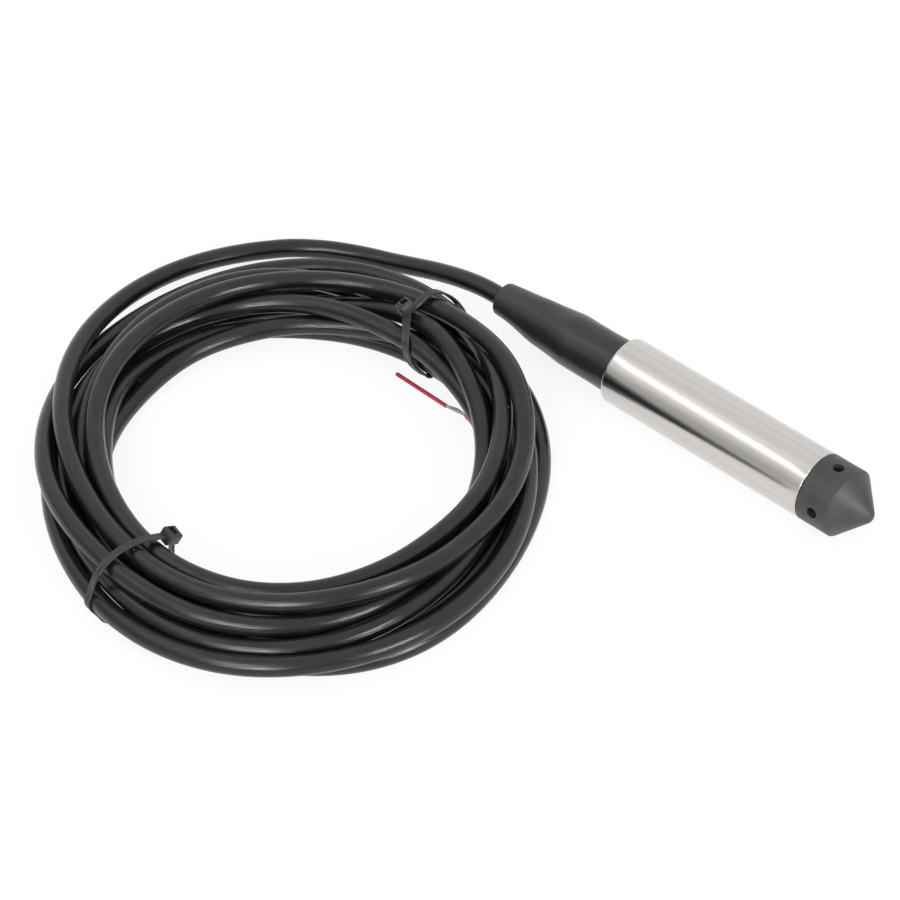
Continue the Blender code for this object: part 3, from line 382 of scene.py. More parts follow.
def turned(name, profile, sides=128):
    """A piece turned on the probe's axis: a circle extruded and scaled from ring to ring."""
    x, radius = profile[0]
    bpy.ops.object.select_all(action="DESELECT")
    bpy.ops.mesh.primitive_circle_add(vertices=sides, radius=radius, location=(x, 0.0, AXIS_Z),
                                      rotation=(0.0, math.pi / 2, 0.0))
    piece = bpy.context.object
    piece.name = name
    settle_place(piece)
    bpy.ops.object.mode_set(mode="EDIT")
    bpy.ops.mesh.select_all(action="SELECT")
    for (x, radius), (next_x, next_radius) in zip(profile, profile[1:]):
        bpy.ops.mesh.extrude_region_move(TRANSFORM_OT_translate={"value": (next_x - x, 0.0, 0.0)})
        share = next_radius / radius
        bpy.ops.transform.resize(value=(1.0, share, share), center_override=(next_x, 0.0, AXIS_Z))
    bpy.ops.mesh.select_all(action="SELECT")
    bpy.ops.mesh.remove_doubles(threshold=0.002 * MM)
    bpy.ops.mesh.fill_holes(sides=0)
    bpy.ops.mesh.select_all(action="SELECT")
    bpy.ops.mesh.normals_make_consistent(inside=False)
    bpy.ops.object.mode_set(mode="OBJECT")
    smooth_shade(piece)
    return piece


def arc(centre_x, centre_r, radius, start, stop, count):
    """Points of a rounded edge, from one angle to another in degrees, 0 along the nose direction."""
    turns = np.radians(np.linspace(start, stop, count))
    return [(centre_x + radius * math.cos(t), centre_r + radius * math.sin(t)) for t in turns]


def evenly(start, stop, count):
    """Points between two profile points, with the last and without the first."""
    return [(start[0] + (stop[0] - start[0]) * i / count, start[1] + (stop[1] - start[1]) * i / count)
            for i in range(1, count + 1)]


def combine(piece, other, operation):
    """Cut one solid out of another, or join it on, and remove it."""
    tool = piece.modifiers.new("combine", "BOOLEAN")
    tool.operation = operation
    tool.solver = "EXACT"
    tool.object = other
    pick_only(piece)
    bpy.ops.object.modifier_apply(modifier=tool.name)
    bpy.data.objects.remove(other)


def block(name, size, rounding=0.0, place=(0.0, 0.0, 0.0), lean=0.0):
    """A box with rounded edges, moved to its place and leant by an angle in degrees."""
    bpy.ops.object.select_all(action="DESELECT")
    bpy.ops.mesh.primitive_cube_add(size=1.0)
    piece = bpy.context.object
    piece.name = name
    bpy.ops.object.mode_set(mode="EDIT")
    bpy.ops.mesh.select_all(action="SELECT")
    bpy.ops.transform.resize(value=size)
    if rounding:
        bpy.ops.mesh.bevel(offset=rounding, segments=3, affect="EDGES")
    bpy.ops.object.mode_set(mode="OBJECT")
    piece.location = place
    piece.rotation_euler = (math.radians(lean), 0.0, 0.0)
    settle_place(piece)
    return piece


def joined(pieces, name):
    bpy.ops.object.select_all(action="DESELECT")
    for piece in pieces:
        piece.select_set(True)
    bpy.context.view_layer.objects.active = pieces[0]
    bpy.ops.object.join()
    whole = bpy.context.object
    whole.name = name
    return whole


# Materials
def new_material(name):
    made = bpy.data.materials.new(name)
    made.use_nodes = True
    tree = made.node_tree
    return made, tree, tree.nodes["Principled BSDF"]


def feed(tree, source, socket):
    """Give a socket a plain value, or what another node puts out."""
    if isinstance(source, bpy.types.NodeSocket):
        tree.links.new(source, socket)
    else:
        socket.default_value = source


def calc(tree, operation, *terms):
    """One step of arithmetic on values that change over the surface."""
    made = tree.nodes.new("ShaderNodeMath")
    made.operation = operation
    for term, socket in zip(terms, made.inputs):
        feed(tree, term, socket)
    return made.outputs[0]


def ramp(tree, source, low, high, low_out, high_out):
    """Map a changing value from one range to another."""
    made = tree.nodes.new("ShaderNodeMapRange")
    for value, socket in zip((source, low, high, low_out, high_out), made.inputs):
        feed(tree, value, socket)
    return made.outputs[0]


def blend_colour(tree, share, first, second):
    made = tree.nodes.new("ShaderNodeMix")
    made.data_type = "RGBA"
    tree.links.new(share, made.inputs["Factor"])
    for colour, socket in ((first, made.inputs[6]), (second, made.inputs[7])):
        feed(tree, (*colour, 1.0) if isinstance(colour, tuple) else colour, socket)
    return made.outputs[2]


def split(tree, vector):
    made = tree.nodes.new("ShaderNodeSeparateXYZ")
    tree.links.new(vector, made.inputs[0])
    return made.outputs


def stretched(tree, vector, scale):
    made = tree.nodes.new("ShaderNodeMapping")
    made.inputs["Scale"].default_value = scale
    tree.links.new(vector, made.inputs["Vector"])
    return made.outputs["Vector"]


def object_places(tree, scale=(1.0, 1.0, 1.0)):
    places = tree.nodes.new("ShaderNodeTexCoord")
    return stretched(tree, places.outputs["Object"], scale)


def noise(tree, vector, scale, detail, roughness):
    made = tree.nodes.new("ShaderNodeTexNoise")
    tree.links.new(vector, made.inputs["Vector"])
    for value, name in ((scale, "Scale"), (detail, "Detail"), (roughness, "Roughness")):
        feed(tree, value, made.inputs[name])
    return made.outputs["Fac"]


def new_group(name, inputs, outputs):
    """An empty shared node group, with its input and output nodes."""
    group = bpy.data.node_groups.new(name, "ShaderNodeTree")
    for label, kind in inputs:
        group.interface.new_socket(label, in_out="INPUT", socket_type=kind)
    for label in outputs:
        group.interface.new_socket(label, in_out="OUTPUT", socket_type="NodeSocketFloat")
    return group, group.nodes.new("NodeGroupInput").outputs, group.nodes.new("NodeGroupOutput").inputs


def make_fine_grain():
    """Shared grain: a height and a tone that change over the surface at a given scale."""
    group, given, put_out = new_group(
        "fine_grain", [("Vector", "NodeSocketVector"), ("Scale", "NodeSocketFloat")], ["Height", "Tone"])
    broad = calc(group, "MULTIPLY", given["Scale"], 0.07)
    group.links.new(noise(group, given["Vector"], given["Scale"], 5.0, 0.62), put_out["Height"])
    group.links.new(noise(group, given["Vector"], broad, 3.0, 0.5), put_out["Tone"])
    return group


DUST_CELLS = 260.0              # cells per metre, of which a few hold a speck
SPECK_EDGE = (0.05, 0.08)
SPECK_CHANCE = (0.965, 0.97)


def make_dust():
    """Shared dust: a mask of a few small pale specks."""
    group, given, put_out = new_group("dust_specks", [("Vector", "NodeSocketVector")], ["Mask"])
    cells = group.nodes.new("ShaderNodeTexVoronoi")
    cells.inputs["Scale"].default_value = DUST_CELLS
    group.links.new(given["Vector"], cells.inputs["Vector"])
    dots = ramp(group, cells.outputs["Distance"], *SPECK_EDGE, 1.0, 0.0)
    chance = group.nodes.new("ShaderNodeSeparateColor")
    group.links.new(cells.outputs["Color"], chance.inputs[0])
    few = ramp(group, chance.outputs[0], *SPECK_CHANCE, 0.0, 1.0)
    group.links.new(calc(group, "MULTIPLY", dots, few), put_out["Mask"])
    return group


FINE_GRAIN = make_fine_grain()
DUST = make_dust()


def shared(tree, group, vector):
    """Place a shared group in a material."""
    made = tree.nodes.new("ShaderNodeGroup")
    made.node_tree = group
    tree.links.new(vector, made.inputs["Vector"])
    return made


def bumped(tree, shader, height, distance):
    made = tree.nodes.new("ShaderNodeBump")
    made.inputs["Strength"].default_value = 1.0
    made.inputs["Distance"].default_value = distance
    tree.links.new(height, made.inputs["Height"])
    tree.links.new(made.outputs["Normal"], shader.inputs["Normal"])


def moulded(name, dark, pale, roughness, scale, distance, metallic=0.0):
    """A moulded, cast or plated finish with a fine grain, an uneven tone and an uneven sheen."""
    made, tree, shader = new_material(name)
    fine = shared(tree, FINE_GRAIN, object_places(tree))
    fine.inputs["Scale"].default_value = scale
    tone = ramp(tree, fine.outputs["Tone"], 0.35, 0.65, 0.0, 1.0)
    tree.links.new(blend_colour(tree, tone, dark, pale), shader.inputs["Base Color"])
    sheen = ramp(tree, fine.outputs["Tone"], 0.3, 0.7, *roughness)
    tree.links.new(sheen, shader.inputs["Roughness"])
    shader.inputs["Metallic"].default_value = metallic
    bumped(tree, shader, fine.outputs["Height"], distance)
    return made


JACKET_LINES = (9.0, 4.2, 4.2)          # pattern scale along the cable and across it
JACKET_RIPPLES = (95.0, 0.55, 0.55)
RIPPLE_SHARE = 0.55
JACKET_RELIEF = 0.13 * MM
JACKET_BLACKS = [(0.005, 0.0053, 0.0068), (0.009, 0.0093, 0.0115)]
JACKET_GLOSS = (0.09, 0.20)
DUST_GREY = (0.30, 0.30, 0.30)


def jacket_material():
    """Glossy extruded jacket: faint drawn lines along it, soft ripples, a little dust."""
    made, tree, shader = new_material("cable_jacket")
    uv = tree.nodes.new("ShaderNodeUVMap")
    uv.uv_map = "length_turn"
    length_turn = split(tree, uv.outputs["UV"])
    turn = calc(tree, "MULTIPLY", length_turn["Y"], 2 * math.pi)
    around = tree.nodes.new("ShaderNodeCombineXYZ")
    tree.links.new(length_turn["X"], around.inputs["X"])
    tree.links.new(calc(tree, "COSINE", turn), around.inputs["Y"])
    tree.links.new(calc(tree, "SINE", turn), around.inputs["Z"])
    lines = noise(tree, stretched(tree, around.outputs[0], JACKET_LINES), 1.6, 4.0, 0.6)
    ripples = noise(tree, stretched(tree, around.outputs[0], JACKET_RIPPLES), 1.0, 2.0, 0.5)
    bumped(tree, shader, calc(tree, "MULTIPLY_ADD", ripples, RIPPLE_SHARE, lines), JACKET_RELIEF)
    specks = shared(tree, DUST, object_places(tree))
    black = blend_colour(tree, ramp(tree, ripples, 0.35, 0.65, 0.0, 1.0), *JACKET_BLACKS)
    tree.links.new(blend_colour(tree, specks.outputs["Mask"], black, DUST_GREY), shader.inputs["Base Color"])
    tree.links.new(ramp(tree, lines, 0.3, 0.7, *JACKET_GLOSS), shader.inputs["Roughness"])
    shader.inputs["Specular IOR Level"].default_value = 0.47
    return made


STEEL_STREAKS = (5.0, 420.0, 420.0)      # pattern scale along the tube and across it
STEEL_TURNING = (2600.0, 30.0, 30.0)
STREAK_SHARE = 1.5
STEEL_RELIEF = 0.006 * MM
STEEL_TONES = [(0.56, 0.54, 0.52), (0.68, 0.658, 0.636)]
STEEL_SHEEN = (0.14, 0.27)


def steel_material():
    """Satin stainless steel, with drawn streaks along the tube and very fine turned lines round it."""
    made, tree, shader = new_material("satin_steel")
    streaks = noise(tree, object_places(tree, STEEL_STREAKS), 1.0, 4.0, 0.55)
    turned_lines = noise(tree, object_places(tree, STEEL_TURNING), 1.0, 3.0, 0.7)
    tone = blend_colour(tree, ramp(tree, streaks, 0.3, 0.7, 0.0, 1.0), *STEEL_TONES)
    tree.links.new(tone, shader.inputs["Base Color"])
    tree.links.new(ramp(tree, streaks, 0.3, 0.7, *STEEL_SHEEN), shader.inputs["Roughness"])
    shader.inputs["Metallic"].default_value = 1.0
    bumped(tree, shader, calc(tree, "MULTIPLY_ADD", streaks, STREAK_SHARE, turned_lines), STEEL_RELIEF)
    return made


STEEL = steel_material()
JACKET = jacket_material()

# Each moulded finish: dark and pale tone, least and most roughness, grain scale and grain depth
CAP_PLASTIC = moulded("cap_plastic", (0.027, 0.0275, 0.028), (0.038, 0.0385, 0.038),
                      (0.40, 0.52), 1500.0, 0.012 * MM)
BOOT_RUBBER = moulded("boot_rubber", (0.013, 0.0133, 0.0155), (0.022, 0.022, 0.024),
                      (0.24, 0.40), 420.0, 0.09 * MM)
HELD_JACKET = moulded("held_jacket", (0.008, 0.008, 0.010), (0.014, 0.014, 0.016),
                      (0.15, 0.25), 300.0, 0.03 * MM)
TIE_NYLON = moulded("tie_nylon", (0.014, 0.014, 0.015), (0.022, 0.022, 0.023),
                    (0.30, 0.42), 900.0, 0.015 * MM)
RED_INSULATION = moulded("red_insulation", (0.27, 0.012, 0.030), (0.36, 0.022, 0.048),
                         (0.32, 0.42), 900.0, 0.02 * MM)
BLACK_INSULATION = moulded("black_insulation", (0.012, 0.012, 0.012), (0.022, 0.022, 0.022),
                           (0.32, 0.45), 900.0, 0.02 * MM)
TINNED = moulded("tinned_copper", (0.36, 0.36, 0.34), (0.62, 0.61, 0.58),
                 (0.28, 0.42), 2500.0, 0.01 * MM, 1.0)
SEAL_RUBBER = moulded("seal_rubber", (0.020, 0.020, 0.020), (0.032, 0.032, 0.032),
                      (0.55, 0.70), 1200.0, 0.02 * MM)
GOLD_PLATE = moulded("gold_plate", (0.72, 0.50, 0.20), (0.86, 0.64, 0.28),
                     (0.20, 0.32), 1500.0, 0.005 * MM, 1.0)
BOARD_RESIST = moulded("board_resist", (0.012, 0.11, 0.045), (0.020, 0.17, 0.070),
                       (0.30, 0.42), 900.0, 0.01 * MM)
WHITE_PLASTIC = moulded("white_plastic", (0.66, 0.65, 0.61), (0.74, 0.73, 0.69),
                        (0.40, 0.55), 900.0, 0.015 * MM)
CHIP_PLASTIC = moulded("chip_plastic", (0.014, 0.014, 0.015), (0.024, 0.024, 0.025),
                       (0.50, 0.65), 1500.0, 0.01 * MM)

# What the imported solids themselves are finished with
SOLID_FINISHES = {
    "steel": STEEL, "black_plastic": CAP_PLASTIC, "boot_rubber": BOOT_RUBBER, "cable_jacket": HELD_JACKET,
    "tie_nylon": TIE_NYLON, "red_insulation": RED_INSULATION, "black_insulation": BLACK_INSULATION,
    "tinned_metal": TINNED, "seal_rubber": SEAL_RUBBER, "gold_pins": GOLD_PLATE,
    "circuit_board": BOARD_RESIST, "white_plastic": WHITE_PLASTIC, "chip_plastic": CHIP_PLASTIC,
}
for part in frame["record"]["subparts"]:
    for place in nodes[part["node"]].material_slots:
        place.material = SOLID_FINISHES[part["material_slot"]]


def dress(piece, material):
    piece.data.materials.clear()
    piece.data.materials.append(material)


def keep(piece, material, slot, *stands_for):
    """Finish a new piece: its material, its body and the solids that it stands for; the slot is not used."""
    dress(piece, material)
    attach(piece, "root")
    if stands_for:
        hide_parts(*stands_for)
    return piece


# Stainless tube, with a rounded rear rim and a small round at the seam
BORE_RADIUS = 12.0 * MM
BORE_MARK = 6.0 * MM            # one more ring inside the bore, past the boot's end
REAR_ROUND = 1.4 * MM
FRONT_ROUND = 0.3 * MM
TUBE_RINGS = 12
RIM_CHAMFER = 0.4 * MM
RIM_SINK = 0.2 * MM
tube_profile = [(SEAM - RIM_SINK, BORE_RADIUS), (TUBE_REAR + BORE_MARK, BORE_RADIUS)]
tube_profile += [(TUBE_REAR + RIM_CHAMFER, BORE_RADIUS), (TUBE_REAR, BORE_RADIUS + RIM_CHAMFER)]
tube_profile += arc(TUBE_REAR + REAR_ROUND, TUBE_RADIUS - REAR_ROUND, REAR_ROUND, 180, 90, 9)
tube_profile += evenly((TUBE_REAR + REAR_ROUND, TUBE_RADIUS), (SEAM - FRONT_ROUND, TUBE_RADIUS), TUBE_RINGS)
tube_profile += arc(SEAM - FRONT_ROUND, TUBE_RADIUS - FRONT_ROUND, FRONT_ROUND, 75, 0, 4)
tube_profile += [(SEAM, BORE_RADIUS + RIM_CHAMFER / 2), tube_profile[0]]
keep(turned("probe_tube", tube_profile), STEEL, "steel", "housing_tube")

# Nose cap, hollow, with four inlet holes
CAP_WALL_LENGTH = 14.0 * MM
CONE_HALF_ANGLE = math.radians(46.2)
TIP_ROUND = 4.0 * MM
SHOULDER_ROUND = 0.45 * MM
REAR_EDGE_ROUND = 0.25 * MM
CHAMBER_RADIUS = 9.0 * MM
CHAMBER_TIP_RADIUS = 1.6 * MM
CHAMBER_TIP_LENGTH = 0.8 * MM
SPIGOT_RADIUS = 11.5 * MM
SPIGOT_LENGTH = 9.0 * MM
CONE_WALL = 3.2 * MM
SEAM_GAP = 0.16 * MM
POLE_RADIUS = 0.02 * MM         # the smallest ring, which is filled
WALL_RINGS = 16
CONE_RINGS = 12
CHAMBER_RINGS = 14
INLET_COUNT = 4
INLET_RADIUS = 2.25 * MM
INLET_FROM_SEAM = 7.7 * MM
INLET_ROLL = -4.0
DRILL_LENGTH = 9.0 * MM
DRILL_FROM_AXIS = 11.5 * MM


def cap_outline():
    cone = CONE_HALF_ANGLE
    cone_lean = math.degrees(math.pi / 2 - cone)
    shoulder = SEAM + CAP_WALL_LENGTH
    rear = SEAM + SEAM_GAP
    spigot_rear = SEAM - SPIGOT_LENGTH
    # The shoulder's round touches the wall and the cone
    back = SHOULDER_ROUND * math.tan((math.pi / 2 - cone) / 2)
    apex = shoulder + CAP_RADIUS / math.tan(cone)
    tip_centre = apex - TIP_ROUND / math.sin(cone)
    cone_end = (tip_centre + TIP_ROUND * math.sin(cone), TIP_ROUND * math.cos(cone))
    outline = [(spigot_rear, CHAMBER_RADIUS), (spigot_rear, SPIGOT_RADIUS),
               (rear, SPIGOT_RADIUS), (rear, CAP_RADIUS - REAR_EDGE_ROUND)]
    outline += arc(rear + REAR_EDGE_ROUND, CAP_RADIUS - REAR_EDGE_ROUND, REAR_EDGE_ROUND, 150, 90, 3)
    wall_end = (shoulder - back, CAP_RADIUS)
    outline += evenly(outline[-1], wall_end, WALL_RINGS)
    outline += arc(wall_end[0], CAP_RADIUS - SHOULDER_ROUND, SHOULDER_ROUND, 80, cone_lean + 0.01, 5)
    outline += evenly(outline[-1], cone_end, CONE_RINGS)
    outline += arc(tip_centre, 0.0, TIP_ROUND, cone_lean - 6, 3, 7)
    outline += [(tip_centre + TIP_ROUND, POLE_RADIUS)]
    inner_tip = apex - CONE_WALL / math.sin(cone)
    outline += [(inner_tip, POLE_RADIUS), (inner_tip - CHAMBER_TIP_LENGTH, CHAMBER_TIP_RADIUS)]
    inner_corner = inner_tip - CHAMBER_RADIUS / math.tan(cone)
    outline += evenly(outline[-1], (inner_corner, CHAMBER_RADIUS), 4)
    outline += evenly(outline[-1], (spigot_rear, CHAMBER_RADIUS), CHAMBER_RINGS)
    return outline


nose_cap = turned("nose_cap_moulding", cap_outline())
for corner in range(INLET_COUNT):
    roll = math.radians(INLET_ROLL + 360.0 / INLET_COUNT * corner)
    outwards = Vector((0.0, -math.sin(roll), math.cos(roll)))
    bpy.ops.object.select_all(action="DESELECT")
    bpy.ops.mesh.primitive_cylinder_add(
        vertices=48, radius=INLET_RADIUS, depth=DRILL_LENGTH,
        location=Vector((SEAM + INLET_FROM_SEAM, 0.0, AXIS_Z)) + outwards * DRILL_FROM_AXIS,
        rotation=(roll, 0.0, 0.0))
    combine(nose_cap, bpy.context.object, "DIFFERENCE")
smooth_shade(nose_cap, 32)
keep(nose_cap, CAP_PLASTIC, "black_plastic", "nose_cap")

# Rubber boot, thick where it grips the tube and slim where it holds the cable
BOOT_SHAPE = [      # distance from the tube's rear rim and radius, in millimetres
    (-5.0, 11.3), (0.0, 11.3), (5.0, 11.3), (10.0, 11.22), (16.0, 11.2), (21.0, 11.18), (26.0, 11.1),
    (30.0, 10.6), (34.0, 10.1), (38.0, 9.7), (43.0, 9.25), (47.0, 8.65), (50.5, 8.15), (55.0, 7.6),
    (59.0, 7.22),
]
BOOT_RING_STEP = 1.6 * MM
BOOT_END_ROUND = 1.1 * MM
BOOT_END_RADIUS = 7.05 * MM
CABLE_HOLE = 4.15 * MM
HOLE_EDGE = (0.4 * MM, 0.5 * MM)
BOOT_INTO_TUBE = 5.0 * MM
NUT_CHAMBER_RADIUS = 9.0 * MM
NUT_CHAMBER_REAR = TUBE_REAR - 19.0 * MM
NUT_CHAMBER_TAPER = 7.0 * MM
BOOT_SWELL = 0.13 * MM
SWELL_WAVES = [     # size, how fast along and round, and phase
    (1.0, 95, 2.0, 0.6), (0.7, 170, -3.0, 0.0), (0.5, 260, 5.0, 1.3),
]
GRIP_LENGTH = 2.0 * MM          # next to the tube, where the skin stays as it is
GRIP_FADE = 8.0 * MM
END_FADE = 6.0 * MM
STILL_SHARE = 0.7               # of the nut chamber's radius, inside which a ring ahead stays as it is


def boot_outline():
    shape = curve_through([(TUBE_REAR - along * MM, radius * MM, 0.0) for along, radius in BOOT_SHAPE],
                          BOOT_RING_STEP)
    outline = [(float(x), float(r)) for x, r, _ in shape]
    outline += arc(BOOT_REAR + BOOT_END_ROUND, BOOT_END_RADIUS - BOOT_END_ROUND, BOOT_END_ROUND, 100, 180, 7)
    outline += [(BOOT_REAR, CABLE_HOLE + HOLE_EDGE[1]), (BOOT_REAR + HOLE_EDGE[0], CABLE_HOLE)]
    outline += evenly(outline[-1], (NUT_CHAMBER_REAR - NUT_CHAMBER_TAPER, CABLE_HOLE), 4)
    outline += [(NUT_CHAMBER_REAR, NUT_CHAMBER_RADIUS), (TUBE_REAR + BOOT_INTO_TUBE, NUT_CHAMBER_RADIUS)]
    outline += [outline[0]]
    return outline


def soften_boot(boot):
    """Move the boot's skin in and out a little, as hand-fitted rubber lies, but not at its ends."""
    for vertex in boot.data.vertices:
        x, y, z = vertex.co
        turn = math.atan2(z - AXIS_Z, y)
        swell = sum(size * math.sin(x * along + turn * round_it + phase)
                    for size, along, round_it, phase in SWELL_WAVES)
        reach = math.hypot(y, z - AXIS_Z)
        free = min(1.0, max(0.0, (TUBE_REAR - GRIP_LENGTH - x) / GRIP_FADE))
        free *= min(1.0, max(0.0, (x - BOOT_REAR) / END_FADE))
        if reach > NUT_CHAMBER_RADIUS * STILL_SHARE or x < NUT_CHAMBER_REAR - NUT_CHAMBER_TAPER:
            share = 1 + BOOT_SWELL * swell * free / reach
            vertex.co.y = y * share
            vertex.co.z = AXIS_Z + (z - AXIS_Z) * share


rubber_boot = turned("rubber_boot_sleeve", boot_outline(), sides=112)
soften_boot(rubber_boot)
smooth_shade(rubber_boot, 40)
keep(rubber_boot, BOOT_RUBBER, "boot_rubber", "rubber_boot")

# Cable in one length, from the boot through the lead and all turns of the coil
line = cable_line()
cable = keep(tube_mesh("cable", line, CABLE_RADIUS, CABLE_SIDES), JACKET, "cable_jacket",
             "cable_lead", "cable_coil")

# Cable ties
STRAP_WIDTH = 3.3 * MM
STRAP_THICKNESS = 1.0 * MM
STRAP_ROUND = 0.3 * MM
STRAP_STEP = 0.9 * MM
STRAP_CLEARANCE = CABLE_RADIUS + STRAP_THICKNESS / 2 + 0.12 * MM
STRAP_ABOVE_FLOOR = 0.05 * MM
LOWEST = 0.03 * MM              # no strap or core goes lower than this
LAY_ROUNDS = 70
EVEN_ROUNDS = 4
EVEN_SHARE = 0.12
ROUTE_SHARE = 0.06
PUSH_SHARE = 0.7
UNDER_STRANDS = 2.4 * MM        # a strap lower than this lies under the strands
UPPER_STRAP = [
    (-108.6, -38.2, 23.4), (-107.6, -35.0, 25.0), (-107.3, -31.0, 26.2), (-107.1, -27.4, 26.4),
    (-106.4, -24.9, 25.7), (-105.3, -22.4, 24.0), (-104.0, -19.0, 20.2), (-103.3, -15.6, 14.8),
    (-102.9, -12.8, 8.5), (-102.9, -12.2, 3.5), (-101.9, -14.5, 0.8), (-99.5, -22.0, 0.7),
    (-96.0, -32.0, 0.7), (-93.0, -40.0, 0.7), (-94.0, -43.5, 0.8), (-97.2, -45.2, 2.2),
    (-98.8, -47.5, 6.0), (-99.2, -49.5, 11.0), (-98.7, -51.2, 17.0), (-99.8, -50.2, 21.0),
    (-102.6, -46.8, 22.6), (-106.4, -42.4, 22.8), (-108.4, -39.8, 23.4),
]
LOWER_STRAP = [
    (-90.8, -189.6, 21.2), (-91.3, -192.6, 22.6), (-91.9, -195.5, 23.6), (-92.8, -199.0, 24.6),
    (-93.6, -203.0, 25.2), (-94.4, -207.5, 25.2), (-94.9, -212.0, 24.6), (-95.0, -216.3, 23.2),
    (-95.4, -219.6, 20.5), (-96.4, -221.2, 16.0), (-97.0, -222.2, 11.0), (-96.4, -222.9, 7.0),
    (-95.0, -222.9, 4.0), (-92.8, -222.5, 1.8), (-89.5, -220.9, 0.8), (-88.0, -214.0, 0.7),
    (-88.5, -205.0, 0.7), (-90.2, -195.0, 0.7), (-91.6, -188.0, 0.9), (-92.8, -185.4, 3.0),
    (-93.5, -184.8, 8.0), (-92.8, -184.9, 13.0), (-91.5, -185.6, 17.5),
]
UPPER_STRAP_ANGLE = 61
LOWER_STRAP_ANGLE = 222

# Heads of the ties: where the middle is, which way the slot goes and which way the strap leaves
UPPER_HEAD = [(-110.0, -39.2, 24.4), (-0.42, -0.18, 0.89), (0.2, 0.95, 0.2)]
LOWER_HEAD = [(-90.2, -187.3, 20.0), (0.25, 0.45, 0.85), (-0.1, -0.9, 0.35)]
HEAD_SIZE = (5.8 * MM, 6.0 * MM, 4.6 * MM)
HEAD_ROUND = 0.45 * MM
LIP_SIZE = (5.0 * MM, 4.6 * MM, 5.4 * MM)
LIP_PLACE = (0.0, 0.5 * MM, 0.0)
LIP_ROUND = 0.3 * MM
SLOT_SIZE = (3.8 * MM, 2.9 * MM, 9.0 * MM)
SLOT_PLACE = (0.0, 0.6 * MM, 0.0)
PAWL_SIZE = (3.2 * MM, 0.9 * MM, 2.4 * MM)
PAWL_PLACE = (0.0, -0.75 * MM, 0.2 * MM)
PAWL_ROUND = 0.15 * MM
PAWL_LEAN = -18.0
TAIL_SIZE = (3.1 * MM, 0.95 * MM, 4.8 * MM)
TAIL_PLACE = (0.0, 1.4 * MM, -1.2 * MM)
TAIL_ROUND = 0.12 * MM


def lay_strap(route):
    """Let a strap lie on the strands: out of every strand, above the floor, else as routed."""
    wanted = curve_through(np.array(route) * MM, STRAP_STEP)
    laid = wanted.copy()
    rows = np.arange(len(laid))
    for _ in range(LAY_ROUNDS):
        for _ in range(EVEN_ROUNDS):
            laid[2:-2] -= EVEN_SHARE * (laid[:-4] - 4 * laid[1:-3] + 6 * laid[2:-2]
                                        - 4 * laid[3:-1] + laid[4:])
        laid += ROUTE_SHARE * (wanted - laid)
        away = laid[:, None, :] - line[None, :, :]
        reach = np.linalg.norm(away, axis=2)
        nearest = reach.argmin(axis=1)
        short = np.clip(STRAP_CLEARANCE - reach[rows, nearest], 0, None)
        way = away[rows, nearest] / np.maximum(reach[rows, nearest], 1e-9)[:, None]
        under = laid[:, 2] < UNDER_STRANDS
        way[under, 2] = -np.abs(way[under, 2])
        laid += way * (PUSH_SHARE * short)[:, None]
        laid[:, 2] = np.maximum(laid[:, 2], STRAP_THICKNESS / 2 + STRAP_ABOVE_FLOOR)
    return laid


def strap_mesh(name, laid, strand_way):
    """A flat strap with rounded edges and a shallow groove, its width kept along the strands."""
    ahead = np.gradient(laid, axis=0)
    ahead /= np.linalg.norm(ahead, axis=1)[:, None]
    wide = strand_way - (ahead @ strand_way)[:, None] * ahead
    wide /= np.linalg.norm(wide, axis=1)[:, None]
    thick = np.cross(ahead, wide)
    half_wide = STRAP_WIDTH / 2
    half_thick = STRAP_THICKNESS / 2
    inner_wide = half_wide - STRAP_ROUND
    inner_thick = half_thick - STRAP_ROUND
    land, groove, groove_thick = 0.45 * half_wide, 0.35 * half_wide, 0.72 * half_thick
    profile = [(half_wide, -inner_thick), (half_wide, inner_thick), (inner_wide, half_thick),
               (land, half_thick), (groove, groove_thick), (-groove, groove_thick), (-land, half_thick),
               (-inner_wide, half_thick), (-half_wide, inner_thick), (-half_wide, -inner_thick),
               (-inner_wide, -half_thick), (inner_wide, -half_thick)]
    verts = []
    for place, across, up in zip(laid, wide, thick):
        for a, b in profile:
            x, y, z = place + across * a + up * b
            verts.append((x, y, max(z, LOWEST)))
    piece = linked_mesh(name, verts, swept_faces(len(laid), len(profile)))
    pick_only(piece)
    bpy.ops.object.mode_set(mode="EDIT")
    bpy.ops.mesh.select_all(action="SELECT")
    bpy.ops.mesh.normals_make_consistent(inside=False)
    bpy.ops.object.mode_set(mode="OBJECT")
    smooth_shade(piece, 40)
    return piece


def tie_head(name, centre, slot_way, strap_way):
    """The tie's head: a rounded box with a raised lip, a square slot and the pawl and tail inside."""
    head = block(name, HEAD_SIZE, HEAD_ROUND)
    combine(head, block("lip", LIP_SIZE, LIP_ROUND, LIP_PLACE), "UNION")
    combine(head, block("slot", SLOT_SIZE, place=SLOT_PLACE), "DIFFERENCE")
    pawl = block("pawl", PAWL_SIZE, PAWL_ROUND, PAWL_PLACE, PAWL_LEAN)
    tail = block("tail", TAIL_SIZE, TAIL_ROUND, TAIL_PLACE)
    whole = joined([head, pawl, tail], name)
    slot_way = Vector(slot_way).normalized()
    strap_way = Vector(strap_way)
    strap_way = (strap_way - slot_way * strap_way.dot(slot_way)).normalized()
    across = strap_way.cross(slot_way)
    turn = Matrix((across, strap_way, slot_way)).transposed().to_4x4()
    whole.matrix_world = Matrix.Translation(Vector(centre) * MM) @ turn
    settle_place(whole)
    smooth_shade(whole, 30)
    return whole


def ring_way(angle):
    """Direction of the strands at an angle round the ring."""
    step = ring_place(np.array([angle - 1.0, angle + 1.0]), np.zeros(2), 0.0)
    way = step[1] - step[0]
    return way / np.linalg.norm(way)


